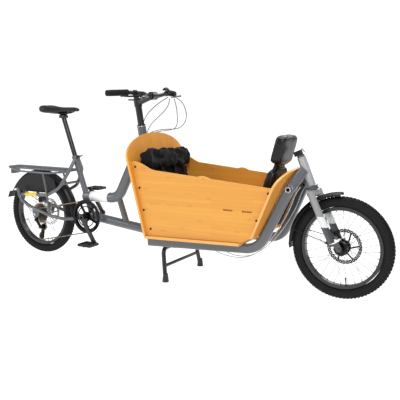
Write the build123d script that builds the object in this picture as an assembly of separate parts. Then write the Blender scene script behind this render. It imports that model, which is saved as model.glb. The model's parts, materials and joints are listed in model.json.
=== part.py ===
"""Cargo bicycle with a bamboo load box: frame, wheels, steering, drivetrain and stand.

Millimetres. While a piece is made, x runs forward from the rear axle, y to the rider's left
and z up from the ground. keep() then moves it, so that the saved model's origin is on the
ground at the middle of the whole bicycle.
"""
from build123d import *
import math
import os

# ---- driving sizes -------------------------------------------------------------------------
WHEELBASE = 1988          # rear axle to front axle
WHEEL_R = 260             # 20 inch wheel over its tyre
AXLE_Z = WHEEL_R
TYRE_HALF = 29            # half the tyre's width
RIM_R = 190               # inside of the rim
SPOKES = 32
FLAP_REACH = 281          # rear mudflap's furthest point behind the rear axle
MIDDLE_X = (WHEELBASE + WHEEL_R - FLAP_REACH) / 2

BRACKET = (408, 0, 280)   # centre of the bottom bracket
SEAT_TOP = (283, 0, 641)  # upper end of the seat tube
POST_R = 15
CRANK = 170               # crank arm length
CRANK_DEG = -58           # rest angle of the right crank arm, from +x towards +z
CHAIN_Y = -52             # plane of the chain
PITCH = 12.7              # chain pitch
RING_TEETH = 48
SPROCKETS = (32, 28, 24, 21, 18, 15, 13, 11)
CHAIN_SPROCKET = 5        # the sprocket that the chain is on, counted from the wheel
SPROCKET_GAP = 4.8
GUIDE = (48, 182)         # guide pulley's centre, x and z
TENSION = (32, 116)       # tension pulley's centre, x and z
PULLEY_R = 22.5

COLUMN_TOP = (762, 0, 978)    # steering column, upper end
COLUMN_SLOPE = 0.1685         # how far it goes back for each mm up
FORK_POINT = (1790, 0, 633)   # a point on the front steering axis
FORK_DEG = 23                 # front steering axis, leaning back from upright
FIT = 0.05                    # running fit between a shaft and its bore
GAP = 0.3                     # space left between two moving faces

RAIL_REAR = (967, 200, 219)   # left cargo rail: rear end
RAIL_BEND = (1601, 152, 238)  # where it turns up
RAIL_NECK = (1745, 112, 550)  # where it turns in to the head tube
RAIL_TOP = (1781, 16, 634)
RAIL_WIDE, RAIL_TALL = 38, 50
RAIL_RISE = (RAIL_BEND[2] - RAIL_REAR[2]) / (RAIL_BEND[0] - RAIL_REAR[0])

BOARD = 12                # bamboo board thickness
FLOOR_BOARD = 15
BENCH_Z = 434             # underside of the bench board
STAND_AXIS = (1040, 180)  # stand's pivot, x and z
FENDER_R = 270            # inside of both mudguards
BELL_R = 22               # bell dome

os.makedirs("parts", exist_ok=True)


# ---- helpers -------------------------------------------------------------------------------
def keep(name, *solids):
    """Save one node, moved so that x = 0 is the middle of the bicycle."""
    shift = Pos(-MIDDLE_X, 0, 0)
    moved = [shift * solid for piece in solids for solid in piece.solids()]
    export_step(moved[0] if len(moved) == 1 else Compound(children=moved), f"parts/{name}.step")


def bar(a, b, radius, bore=0):
    """Round bar, or a tube, from point a to point b."""
    run = Vector(*b) - Vector(*a)
    plane = Plane(origin=a, z_dir=run)
    section = Circle(radius) - Circle(bore) if bore else Circle(radius)
    return extrude(plane * section, run.length)


def bent(points, radii, section):
    """Sweep a section along straight runs joined by tangent arcs."""
    path = FilletPolyline(*points, radius=radii)
    return sweep(Plane(origin=path @ 0, z_dir=path % 0) * section, path=path)


def pipe(points, radii, radius, wall=0):
    """Bent round tube."""
    section = Circle(radius) - Circle(radius - wall) if wall else Circle(radius)
    return bent(points, radii, section)


def cord_radii(points):
    """The largest tangent arc for each corner of a cord: 0.45 of the shorter run."""
    radii = []
    for before, here, after in zip(points, points[1:], points[2:]):
        run_in = Vector(*here) - Vector(*before)
        run_out = Vector(*after) - Vector(*here)
        half_turn = math.radians(run_in.get_angle(run_out)) / 2
        radii.append(0.45 * min(run_in.length, run_out.length) / math.tan(half_turn))
    return radii


def cord(points, radius):
    """Cable or hose along its route."""
    return pipe(points, cord_radii(points), radius)


def block(x, y, z, size_x, size_y, size_z, round_by=0):
    """Box about a centre, with its long edges rounded if asked."""
    solid = Pos(x, y, z) * Box(size_x, size_y, size_z)
    return fillet(solid.edges(), round_by) if round_by else solid


def plate_xz(sketch, y, thick):
    """Flat plate drawn in x and z, from y to y + thick."""
    plane = Plane(origin=(0, y, 0), x_dir=(1, 0, 0), z_dir=(0, -1, 0))
    return extrude(plane * sketch, thick, dir=(0, 1, 0))


def about_axle(x, degrees=0):
    """Plane whose local x is radial from a wheel's axle and local y is the width."""
    a = math.radians(degrees)
    return Plane(origin=(x, 0, AXLE_Z), x_dir=(math.cos(a), 0, math.sin(a)),
                 z_dir=(-math.sin(a), 0, math.cos(a)))


def turned(x, section, start=0, sweep_deg=360):
    """Revolve a radial section about a wheel's axle."""
    axis = Axis((x, 0, AXLE_Z), (0, -1, 0))
    return revolve(about_axle(x, start) * section, axis=axis, revolution_arc=sweep_deg)


def on_wheel(x, radius, degrees, y):
    """Point at a radius and an angle from a wheel's axle."""
    a = math.radians(degrees)
    return (x + radius * math.cos(a), y, AXLE_Z + radius * math.sin(a))


def both_sides(solid):
    """A piece and its mirror image on the other side of the bicycle."""
    return [solid, mirror(solid, Plane.XZ)]


def on_fork(s, forward=0, y=0):
    """Point a distance s down the front steering axis, and so far ahead of it."""
    a = math.radians(FORK_DEG)
    return (FORK_POINT[0] + s * math.sin(a) + forward * math.cos(a), y,
            FORK_POINT[2] - s * math.cos(a) + forward * math.sin(a))


def on_column(z, y=0, forward=0):
    """Point on the steering column's axis at height z, and so far ahead of it."""
    return (COLUMN_TOP[0] + (COLUMN_TOP[2] - z) * COLUMN_SLOPE + forward, y, z)


def rail_top(x):
    """Height of the cargo rails' upper face."""
    return RAIL_REAR[2] + RAIL_TALL / 2 + (x - RAIL_REAR[0]) * RAIL_RISE


def back_board_x(z):
    """Front face of the box's back board."""
    return 985 - 0.22 * (z - 255)


def front_board_x(z):
    """Front face of the box's front board."""
    return 1588 + 0.44 * (z - 270)


def toothed(teeth, thick, y, x, z, bore):
    """Sprocket or chainring: a disc with a round valley for each chain roller."""
    pitch_r = PITCH / (2 * math.sin(math.pi / teeth))
    valleys = PolarLocations(pitch_r + 1.2, teeth, start_angle=180 / teeth)
    outline = Circle(pitch_r + 3.2) - valleys * Circle(4.1) - Circle(bore)
    return plate_xz(Pos(x, z) * outline, y - thick / 2, thick)


# ---- wheels --------------------------------------------------------------------------------
def rim_section():
    """Double-walled rim, radial distance along x."""
    outer = Pos(RIM_R + 8.5, 0) * Rectangle(17, 30)
    well = Pos(RIM_R + 14, 0) * Rectangle(8, 25)
    chamber = Pos(RIM_R + 5, 0) * Rectangle(5, 24)
    return outer - well - chamber


def tyre_section():
    """Round tyre, 4.5 mm thick, open towards the rim."""
    centre_r = WHEEL_R - TYRE_HALF
    casing = Pos(centre_r, 0) * (Circle(TYRE_HALF) - Circle(TYRE_HALF - 4.5))
    mouth = Pos(RIM_R + 4, 0) * Rectangle(40, 22)
    beside_rim = Pos(RIM_R + 8.5, 0) * Rectangle(17.6, 30.6)
    return casing - mouth - beside_rim


def spokes(x, flange_r, flange_y):
    """Crossed spokes, alternately to the left and right flange."""
    made = []
    for i in range(SPOKES):
        side = 1 if i % 2 else -1
        outer = (i // 2) % 2
        cross = 38 if outer else -38
        at_rim = i * 360 / SPOKES
        start_y = flange_y + (3.9 if outer else -3.9)
        end_y = 5 if outer else 1.6
        start = on_wheel(x, flange_r - 4, at_rim + cross, side * start_y)
        end = on_wheel(x, RIM_R - 0.4, at_rim, side * end_y)
        made.append(bar(start, end, 1))
    return made


def rotor(x, y):
    """Brake disc with vent holes, six arms and a centre ring."""
    ring = Circle(90) - Circle(72)
    holes = [PolarLocations(radius, 30, start_angle=6 * i) * Circle(2.2)
             for i, radius in enumerate((86, 81, 76))]
    for hole in holes:
        ring -= hole
    centre = Circle(26) - Circle(18)
    for i in range(6):
        arm = Rot(0, 0, 60 * i) * Pos(49, 0) * Rot(0, 0, 18) * Rectangle(52, 8)
        centre += arm - Circle(20)
    return plate_xz(Pos(x, AXLE_Z) * (ring + centre), y, 2)


def wheel(name, x, hub_r, flange_r, flange_y, half_hub, rotor_y):
    """Tyre, rim, spokes and hub with its brake rotor."""
    keep(f"{name}_tyre", turned(x, tyre_section()))
    keep(f"{name}_rim", turned(x, rim_section()))
    keep(f"{name}_spokes", *spokes(x, flange_r, flange_y))
    bore = 5 + FIT
    shell = Pos((hub_r + bore) / 2, 0) * Rectangle(hub_r - bore, 2 * flange_y)
    body = Pos((17.7 + bore) / 2, 0) * Rectangle(17.7 - bore, 2 * half_hub)
    flanges = [Pos((flange_r + bore) / 2, side * flange_y) * Rectangle(flange_r - bore, 4)
               for side in (-1, 1)]
    hub = turned(x, shell + body + flanges[0] + flanges[1])
    keep(f"{name}_hub", hub, rotor(x, rotor_y))


def axle(x, half_gap, plate):
    """Fixed axle with lock nuts inside the dropouts and nuts outside."""
    solid = bar((x, -half_gap - plate - 9, AXLE_Z), (x, half_gap + plate + 9, AXLE_Z), 5)
    for side in (-1, 1):
        solid += bar((x, side * (half_gap - 3.4), AXLE_Z), (x, side * half_gap, AXLE_Z), 9)
        nut = extrude(Plane(origin=(x, side * (half_gap + plate), AXLE_Z), z_dir=(0, side, 0))
                      * RegularPolygon(9, 6), 7)
        solid += nut
    return solid


def mudguard(x, start, arc):
    """Arched mudguard strip over a wheel."""
    crown = Pos(FENDER_R - 26, 0) * (Circle(38) - Circle(36))
    shallow = Pos(FENDER_R + 10, 0) * Rectangle(36, 66)
    return turned(x, crown & shallow, start, arc)


# ---- frame ---------------------------------------------------------------------------------
def frame():
    """Main tubes, head tubes, braces and the two cargo rails."""
    bx, by, bz = BRACKET
    shell_solid = bar((bx, -34, bz), (bx, 34, bz), 20)
    shell = shell_solid - bar((bx, -40, bz), (bx, 40, bz), 17.5)
    cups = [bar((bx, side * 18, bz), (bx, side * 34, bz), 17.5, 8.5 + FIT)
            + bar((bx, side * 34, bz), (bx, side * 38, bz), 21, 8.5 + FIT) for side in (-1, 1)]
    keep("bottom_bracket", shell, *cups)

    seat_solid = bar(BRACKET, SEAT_TOP, 17.8)
    tube = bar(BRACKET, SEAT_TOP, 17.8, POST_R + FIT) - shell_solid
    collar_low = Vector(*SEAT_TOP) + (Vector(*BRACKET) - Vector(*SEAT_TOP)).normalized() * 16
    collar = bar(tuple(collar_low), SEAT_TOP, 21.5, 17.8)
    ear = block(SEAT_TOP[0] + 29, 0, SEAT_TOP[2] - 2, 16, 18, 12)
    ear -= bar(BRACKET, SEAT_TOP, 21)
    ear -= block(SEAT_TOP[0] + 31, 0, SEAT_TOP[2], 22, 3, 30)
    keep("seat_tube", tube, collar + ear)

    head_low, head_high = on_column(690), on_column(836)
    head_solid = bar(head_low, head_high, 25)
    head = head_solid - bar(head_low, head_high, 22)
    cup_low = bar(head_low, on_column(702), 22, 14.3 + FIT)
    cup_high = bar(on_column(824), head_high, 22, 14.3 + FIT)
    keep("rear_head_tube", head, cup_low, cup_high)

    top_path = [(356, 0, 397), (612, 0, 402), on_column(762)]
    top_solid = pipe(top_path, 90, 31)
    top = top_solid - pipe([(360, 0, 397.1)] + top_path[1:], 90, 28.4)
    keep("top_tube", top - head_solid - seat_solid)

    low_start, low_end = (bx + 4, 0, bz - 6), (985, 0, 213)
    cross_solid = bar((985, -185, 217), (985, 185, 217), 17)
    low_solid = bar(low_start, low_end, 27)
    low = bar(low_start, low_end, 27, 24.6) - shell_solid - cross_solid - seat_solid
    low_cut = block(985 + 60, 0, 217, 120, 80, 80)
    keep("lower_tube", low - low_cut)

    brace = bar((618, 0, 400), (666, 0, 265), 18, 16) - top_solid - low_solid
    rails = [cargo_rail(side) for side in (-1, 1)]
    crosses = [bar((x, -190 + toe, z), (x, 190 - toe, z), r, r - 2.2)
               for x, z, r, toe in ((985, 217, 17, 0), (1040, 215, 14, 4), (1330, 226, 12, 20))]
    crosses = [cross - rails[0][1] - rails[1][1] for cross in crosses]
    sx, sz = STAND_AXIS
    ears = []
    for side in (-1, 1):
        ear = block(sx, side * 72, sz + 16, 36, 14, 64)
        ear -= bar((sx, side * 50, sz), (sx, side * 90, sz), 12 + GAP)
        ear -= bar((1040, -190, 215), (1040, 190, 215), 14)
        ears.append(max(ear.solids(), key=lambda s: s.volume))
    keep("frame_braces", max(brace.solids(), key=lambda s: s.volume),
         *[max(cross.solids(), key=lambda s: s.volume) for cross in crosses], *ears)

    front_low, front_high = on_fork(79), on_fork(-73)
    head_solid = bar(front_low, front_high, 22)
    head = head_solid - bar(front_low, front_high, 18)
    cups = [bar(on_fork(a), on_fork(b), 18, 14.3 + FIT) for a, b in ((79, 67), (-61, -73))]
    keep("front_head_tube", head, *cups)
    for name, rail in zip(("right", "left"), rails):
        solid = rail[0] - head_solid
        solid = max(solid.solids(), key=lambda s: s.volume)
        keep(f"cargo_rail_{name}", solid)


def cargo_rail(side):
    """One side of the load frame: rail, bend, upright and shoulder. Returns tube, solid."""
    points = [(x, side * y, z) for x, y, z in (RAIL_REAR, RAIL_BEND, RAIL_NECK, RAIL_TOP)]
    path = FilletPolyline(*points, radius=[110, 55])
    start = Plane(origin=path @ 0, x_dir=(0, 1, 0), z_dir=path % 0)
    outer = RectangleRounded(RAIL_WIDE, RAIL_TALL, 13)
    inner = RectangleRounded(RAIL_WIDE - 5, RAIL_TALL - 5, 10.5)
    solid = sweep(start * outer, path=path)
    hollow = solid - sweep(start * inner, path=path)
    lid = extrude(start * outer, 3)
    neck = RAIL_NECK
    port = bar((neck[0], side * (neck[1] - 60), neck[2]), (neck[0], side * (neck[1] + 60), neck[2]), 8)
    boss = bar((neck[0], side * (neck[1] + 10), neck[2]), (neck[0], side * (neck[1] + 21), neck[2]), 18)
    return (hollow + lid + boss) - port, solid


def stay(name):
    """Left upper or lower stay as a plain bent bar."""
    if name == "upper":
        return pipe([(296, 14, 625), (286, 60, 556), (222, 84, 447), (120, 84, 394),
                     (-20, 82, 388), (-98, 80, 384)], [60, 80, 90, 90], 10.5)
    return pipe([(392, 28, 268), (304, 36, 255), (238, 76, 252), (140, 80, 262), (-40, 80, 311),
                 (-112, 80, 352), (-138, 80, 424)], [40, 40, 120, 260, 60], 10.5)


def rear_triangle():
    """Upper and lower stays with dropouts."""
    lower_solid, upper_solid = stay("lower"), stay("upper")
    shell = bar((BRACKET[0], -40, BRACKET[2]), (BRACKET[0], 40, BRACKET[2]), 21.2)
    seat = bar(BRACKET, SEAT_TOP, 17.8) + bar((289, 0, 623), SEAT_TOP, 21.7)
    plate = Polygon((-26, 306), (36, 294), (24, 250), (14, 240), (-12, 240), (-20, 250),
                    align=None)
    plate -= Pos(0, AXLE_Z) * Circle(5)
    dropout = plate_xz(plate, 67.5, 6)
    low = max((lower_solid + dropout - shell).solids(), key=lambda s: s.volume)
    high = max((upper_solid - seat - lower_solid).solids(), key=lambda s: s.volume)
    keep("lower_stays", *both_sides(low))
    bridge = bar((236, -75, 470), (236, 75, 470), 8) - high - mirror(high, Plane.XZ)
    bridge = max(bridge.solids(), key=lambda s: s.volume)
    keep("upper_stays", *both_sides(high), bridge)
    keep("rear_axle", axle(0, 67.5, 6))


def rear_rack():
    """Carrier over the rear wheel: deck loop, slats, side rails, struts and tail light."""
    corners = [(262, 50, 550), (-246, 50, 550), (-246, -50, 550), (262, -50, 550)]
    path = FilletPolyline(*corners, radius=22, close=True)
    loop = sweep(Plane(origin=path @ 0, z_dir=path % 0) * Circle(7), path=path)
    for y in (-24, 0, 24):
        loop += block(8, y, 556, 500, 14, 3)
    for x in (190, 60, -90, -200):
        loop += bar((x, -52, 550), (x, 52, 550), 5)
    side_rail = [(272, 57, 546), (150, 92, 534), (-90, 92, 534), (-222, 57, 548)]
    strut = [(96, 92, 534), (120, 95, 440), (140, 95, 285)]
    for side in (1, -1):
        loop += pipe([(x, side * y, z) for x, y, z in side_rail], 90, 6)
        loop += pipe([(x, side * y, z) for x, y, z in strut], 60, 6)
    for tube in (stay("upper"), stay("lower")):
        loop -= tube
        loop -= mirror(tube, Plane.XZ)
    lamp = block(-232, 0, 522, 18, 70, 34, 5) - bar((-232, -60, 551), (-232, 60, 551), 8)
    keep("rear_rack", max(loop.solids(), key=lambda s: s.volume), lamp)


def mudguards():
    """Front and rear mudguards, each with its flap and wire stays."""
    rear = mudguard(0, -8, 158)
    flap = plate_xz(Polygon((-263, 386), (-FLAP_REACH, 345), (-277, 344), (-258, 386),
                            align=None), -31, 62)
    stays = [bar(on_wheel(0, 30, 150, 76), on_wheel(0, 268, 148, 35), 2)]
    keep("rear_fender", rear, flap - rear, *both_sides(stays[0] - rear))
    x = WHEELBASE
    front = mudguard(x, 92, 88)
    flap = plate_xz(Polygon((x - 274, 262), (x - 269, 236), (x - 265, 236), (x - 269, 262),
                            align=None), -31, 62)
    tip = on_wheel(x, 268, 163, 35)
    stay = bar((x - 58, 66, 292), tip, 2) - front
    clip = block(x - 58, 66, 292, 14, 14, 12) + stay - fork_leg(1)
    clip = max(clip.solids(), key=lambda s: s.volume)
    keep("front_fender", front, flap - front, *both_sides(clip))


# ---- load box ------------------------------------------------------------------------------
def side_board():
    """Left side board, with a swept top edge, a tie hump and four bench slots."""
    up = Vector(0, 0.03, 1).normalized()
    along = Vector(1, -0.037, 0).normalized()
    plane = Plane(origin=(1321, 242, 592), x_dir=along, z_dir=along.cross(up))
    low_rear, low_front = rail_top(984) + 16.5, rail_top(1530) + 16.5
    line = [
        Line((984 - 1321, low_rear - 592), (1530 - 1321, low_front - 592)),
        Line((1530 - 1321, low_front - 592), (1587 - 1321, 304 - 592)),
        Line((1587 - 1321, 304 - 592), (1701 - 1321, 563 - 592)),
        Line((1701 - 1321, 563 - 592), (1366 - 1321, 591 - 592)),
        Spline((1366 - 1321, -1), (1350 - 1321, 5), (1328 - 1321, 11), (1306 - 1321, 10),
               (1290 - 1321, 5)),
        Line((1290 - 1321, 5), (1034 - 1321, 618 - 592)),
        Spline((1034 - 1321, 618 - 592), (1006 - 1321, 626 - 592), (968 - 1321, 645 - 592),
               (936 - 1321, 656 - 592), (897 - 1321, 659 - 592)),
        Line((897 - 1321, 659 - 592), (984 - 1321, low_rear - 592)),
    ]
    face = make_face(line)
    for x in (1040, 1144, 1467, 1570):
        face -= Pos(x - 1321, 440 - 592) * SlotOverall(52, 8)
    face -= Pos(1328 - 1321, -3) * Circle(3)
    return extrude(plane * face, BOARD), plane


def box():
    """Bamboo boards, floor, bench and the guard in front."""
    board, plane = side_board()
    keep("box_side_left", board)
    keep("box_side_right", mirror(board, Plane.XZ))

    up = Vector(-0.22, 0, 1).normalized()
    back_plane = Plane(origin=(985 - 0.5, 0, 255), x_dir=(0, 1, 0),
                       z_dir=Vector(0, 1, 0).cross(up))
    trunk = Polygon((-262, 8), (262, 8), (285, 430), (-285, 430), align=None)
    arch = (Pos(0, 430) * Ellipse(285, 131)) & (Pos(0, 530) * Rectangle(600, 204))
    keep("box_back_panel", extrude(back_plane * (trunk + arch), -BOARD))

    up = Vector(0.44, 0, 1).normalized()
    front_plane = Plane(origin=(1588, 0, 270), x_dir=(0, 1, 0), z_dir=Vector(0, 1, 0).cross(up))
    trunk = Polygon((-238, 40), (238, 40), (252, 320), (-252, 320), align=None)
    arch = (Pos(0, 320) * Ellipse(252, 88)) & (Pos(0, 400) * Rectangle(600, 164))
    keep("box_front_panel", extrude(front_plane * (trunk + arch), -BOARD))

    rise = Vector(1, 0, RAIL_RISE).normalized()
    floor_plane = Plane(origin=(RAIL_REAR[0], 0, rail_top(RAIL_REAR[0]) + 0.5), x_dir=rise,
                        z_dir=rise.cross(Vector(0, 1, 0)))
    floor = extrude(floor_plane * Polygon((6, -258), (562, -236), (562, 236), (6, 258),
                                          align=None), FLOOR_BOARD)
    bench = extrude(Plane.XY.offset(BENCH_Z) * Polygon(
        (947, -237), (1200, -228), (1200, 228), (947, 237), align=None), BOARD)
    riser_low = rail_top(1188) + FLOOR_BOARD + 3
    riser = block(1186, 0, (riser_low + BENCH_Z) / 2, BOARD, 444, BENCH_Z - riser_low)
    tabs = []
    for x in (1040, 1144):
        toe = 242 - 0.037 * (x - 1321) + 0.03 * (440 - 592)
        tab = block(x, toe - BOARD / 2 - 1, 440, 49, 14, 6)
        tabs += both_sides(tab - bench)
    keep("box_floor", floor, bench, riser, *tabs)

    bolts = []
    for x, z in ((922, 632), (946, 520), (968, 400), (1008, 300), (1682, 540), (1622, 400)):
        bolts += both_sides(plane_bolt(plane, x - 1321, z - 592))
    for y in (-236, 236):
        for x in (1060, 1300, 1500):
            spot = (x, y * (0.86 - 0.12 * (x - 1060) / 440), rail_top(x) + FLOOR_BOARD + 1)
            bolts.append(bar(spot, (spot[0], spot[1], spot[2] + 3), 6))
    keep("box_bolts", *bolts)

    guard_plane = front_plane.offset(0.4)
    guard = extrude(guard_plane * Polygon((-96, 66), (96, 66), (84, 330), (-84, 330),
                                          align=None), 3)
    keep("splash_guard", guard)


def plane_bolt(plane, x, z):
    """Round bolt head on the outside of a side board."""
    here = Plane(origin=plane.from_local_coords((x, z, 0)), z_dir=plane.z_dir)
    outside = here.offset(BOARD + 0.1) if plane.z_dir.Y > 0 else here.offset(-0.1)
    depth = 3 if plane.z_dir.Y > 0 else -3
    return extrude(outside * Circle(5.5), depth)


def cushions():
    """Padded bench back, bench cushion and the front backrest."""
    up = Vector(-0.22, 0, 1).normalized()
    plane = Plane(origin=(985, 0, 255), x_dir=(0, 1, 0), z_dir=Vector(0, 1, 0).cross(up))
    back = extrude(plane.offset(1.5) * (Pos(0, 320) * RectangleRounded(460, 240, 30)), 48)
    keep("bench_back", fillet(back.edges(), 9))
    seat = block(1112, 0, BENCH_Z + BOARD + 0.5 + 30, 190, 450, 60)
    seat -= extrude(plane.offset(-20) * (Pos(0, 300) * Rectangle(600, 700)), 72)
    seat = max(seat.solids(), key=lambda s: s.volume)
    keep("bench_cushion", fillet(seat.edges(), 8))
    up = Vector(0.27, 0, 1).normalized()
    plane = Plane(origin=(1516, 0, 285), x_dir=(0, 1, 0), z_dir=Vector(0, 1, 0).cross(up))
    low = extrude(plane * (Pos(0, 197) * RectangleRounded(230, 380, 20)), 58)
    head = extrude(plane.offset(-4) * (Pos(0, 476) * RectangleRounded(208, 158, 30)), 66)
    neck = extrude(plane.offset(8) * (Pos(0, 390) * Rectangle(150, 40)), 40)
    keep("front_backrest", fillet(low.edges(), 9) + neck + fillet(head.edges(), 12))


# ---- steering ------------------------------------------------------------------------------
def handlebar_line():
    """The handlebar's centre line, from the right grip's end to the left grip's end."""
    half = [(868, 58, 1007), (886, 112, 1020), (846, 205, 1025), (802, 330, 1021)]
    return [(x, -y, z) for x, y, z in reversed(half)] + half


def column():
    """Steering column with its cable drum, stem, handlebar, grips and perches."""
    steerer = bar(on_column(640), on_column(838), 14.3)
    drum = bar(on_column(640), on_column(664), 25)
    drum -= bar(on_column(645), on_column(659), 40, 21)
    post = bar(on_column(837), COLUMN_TOP, 19)
    washer = bar(on_column(836.4), on_column(845), 24)
    body = steerer + drum + post + washer
    keep("steering_column", body)
    clamp_y = 24
    clamp = bar((868, -clamp_y, 1007), (868, clamp_y, 1007), 23)
    arm = bar(on_column(966), (852, 0, 1001), 16)
    cap = bar(on_column(946), on_column(992), 22.5)
    stem = clamp + arm + cap
    tube = pipe(handlebar_line(), 34, 11, 2.2)
    tube += bar((868, -40, 1007), (868, 40, 1007), 15.9) - bar((868, -40, 1007), (868, 40, 1007), 8.8)
    stem -= bar((868, -60, 1007), (868, 60, 1007), 15.95)
    stem -= bar(on_column(900), COLUMN_TOP, 19)
    keep("handlebar_stem", stem)
    keep("handlebar", tube)
    grip_in, grip_out = Vector(846, 205, 1025), Vector(802, 330, 1021)
    run = (grip_out - grip_in).normalized()
    grip = bar(tuple(grip_in + run * 4), tuple(grip_out + run * 4), 16)
    grip -= bar(tuple(grip_in), tuple(grip_out), 11.02)
    keep("grips", *both_sides(grip))


def controls():
    """Brake perches and levers, shifter and bell."""
    spot = Vector(863, 166, 1022.5)
    run = (Vector(846, 205, 1025) - Vector(886, 112, 1020)).normalized()
    held_bar = pipe(handlebar_line(), 34, 11 + FIT)
    ring = bar(tuple(spot - run * 9), tuple(spot + run * 9), 16) - held_bar
    pivot = (904, 158, 1010)
    body = bar((874, 160, 1017), (890, 158, 1013), 9) - held_bar
    fork_block = block(pivot[0], pivot[1], pivot[2], 20, 18, 26)
    slot = block(pivot[0] + 2, pivot[1] + 3, pivot[2], 26, 26, 14)
    pin = bar((pivot[0], pivot[1], pivot[2] - 13), (pivot[0], pivot[1], pivot[2] + 13), 2.5)
    perch = ring + body + (fork_block - slot) + pin
    shifter = bar((860, -150, 992), (860, -150, 1010), 15) + bar((862, -148, 1006), (868, -150, 1016), 7)
    shifter -= held_bar
    bell = (880, 118, 1034)
    base = bar((885, 111, 1019.8), (877.5, 126, 1021), 15) - held_bar
    rim_z = bell[2] + 4
    base += bar((bell[0], bell[1], 1033), (bell[0], bell[1], rim_z), 3.5)
    below = block(bell[0], bell[1], rim_z - 30, 80, 80, 60)
    dome = Pos(*bell) * (Sphere(BELL_R) - Sphere(BELL_R - 1.6)) - below
    post = bar((bell[0], bell[1], rim_z), (bell[0], bell[1], bell[2] + BELL_R - 0.8), 3)
    keep("bar_controls", *both_sides(perch), shifter, base, dome + post)
    blade = [(pivot[0], pivot[1], pivot[2]), (909, 182, 1006), (884, 250, 1004), (868, 296, 1007)]
    lever = pipe(blade, 30, 4.6)
    lever += bar((pivot[0], pivot[1], pivot[2] - 4.6), (pivot[0], pivot[1], pivot[2] + 4.6), 6.5)
    lever += Pos(868, 296, 1007) * Sphere(6)
    lever -= bar((pivot[0], pivot[1], pivot[2] - 13), (pivot[0], pivot[1], pivot[2] + 13), 2.5 + FIT)
    keep("brake_lever_left", lever)
    keep("brake_lever_right", mirror(lever, Plane.XZ))
    thumb = bar((860, -150, 983), (860, -150, 991.6), 8)
    thumb += pipe([(860, -150, 986.5), (838, -158, 985), (822, -172, 986)], 12, 4)
    keep("shift_lever", thumb)
    striker = bar((896, 134, 1024), (896, 134, 1033), 3.2)
    striker += bar((896, 134, 1028), (911, 141, 1028), 2.4)
    keep("bell_striker", striker)


def fork_leg(side):
    """One fork leg as a plain bar; side is 1 on the left and -1 on the right."""
    return bar(on_fork(104, 2, side * 60), on_fork(378, 14, side * 60), 18)


def fork():
    """Steerer, cable drum, crown and two legs; with the light and the brake caliper."""
    steerer = bar(on_fork(105), on_fork(-80), 14.3)
    drum = bar(on_fork(81), on_fork(99), 32)
    drum -= bar(on_fork(85), on_fork(95), 45, 28)
    crown = bar(on_fork(117, 0, -60), on_fork(117, 0, 60), 19)
    crown += bar(on_fork(99), on_fork(130), 21)
    body = steerer + drum + crown
    for side in (-1, 1):
        body += fork_leg(side)
        plate = Polygon((-34, 22), (-8, 40), (12, 10), (11, -10), (-10, -12), align=None)
        plate -= Circle(5)
        body += plate_xz(Pos(WHEELBASE, AXLE_Z) * plate, side * 53 - 3, 6)
    top_cap = bar(on_fork(-73.4), on_fork(-84), 19)
    body += top_cap
    keep("fork", body, axle(WHEELBASE, 50, 6))
    lamp = bar(on_fork(-84.2), on_fork(-88), 14)
    cx, _, cz = on_fork(-98, -8)
    lamp += Pos(cx, 0, cz) * Rot(0, -FORK_DEG, 0) * Box(36, 34, 24)
    hook = pipe([on_fork(-106, 8), on_fork(-116, 20), on_fork(-92, 26)], 4, 2)
    keep("front_light", lamp + hook)
    cx, _, cz = on_fork(345, -20)
    caliper = Pos(cx, 39.5, cz) * Rot(0, -FORK_DEG, 0) * Box(34, 21, 56)
    caliper -= plate_xz(Pos(WHEELBASE, AXLE_Z) * Circle(93), 33.6, 6.8)
    caliper -= fork_leg(1)
    keep("front_caliper", max(caliper.solids(), key=lambda s: s.volume))


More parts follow.
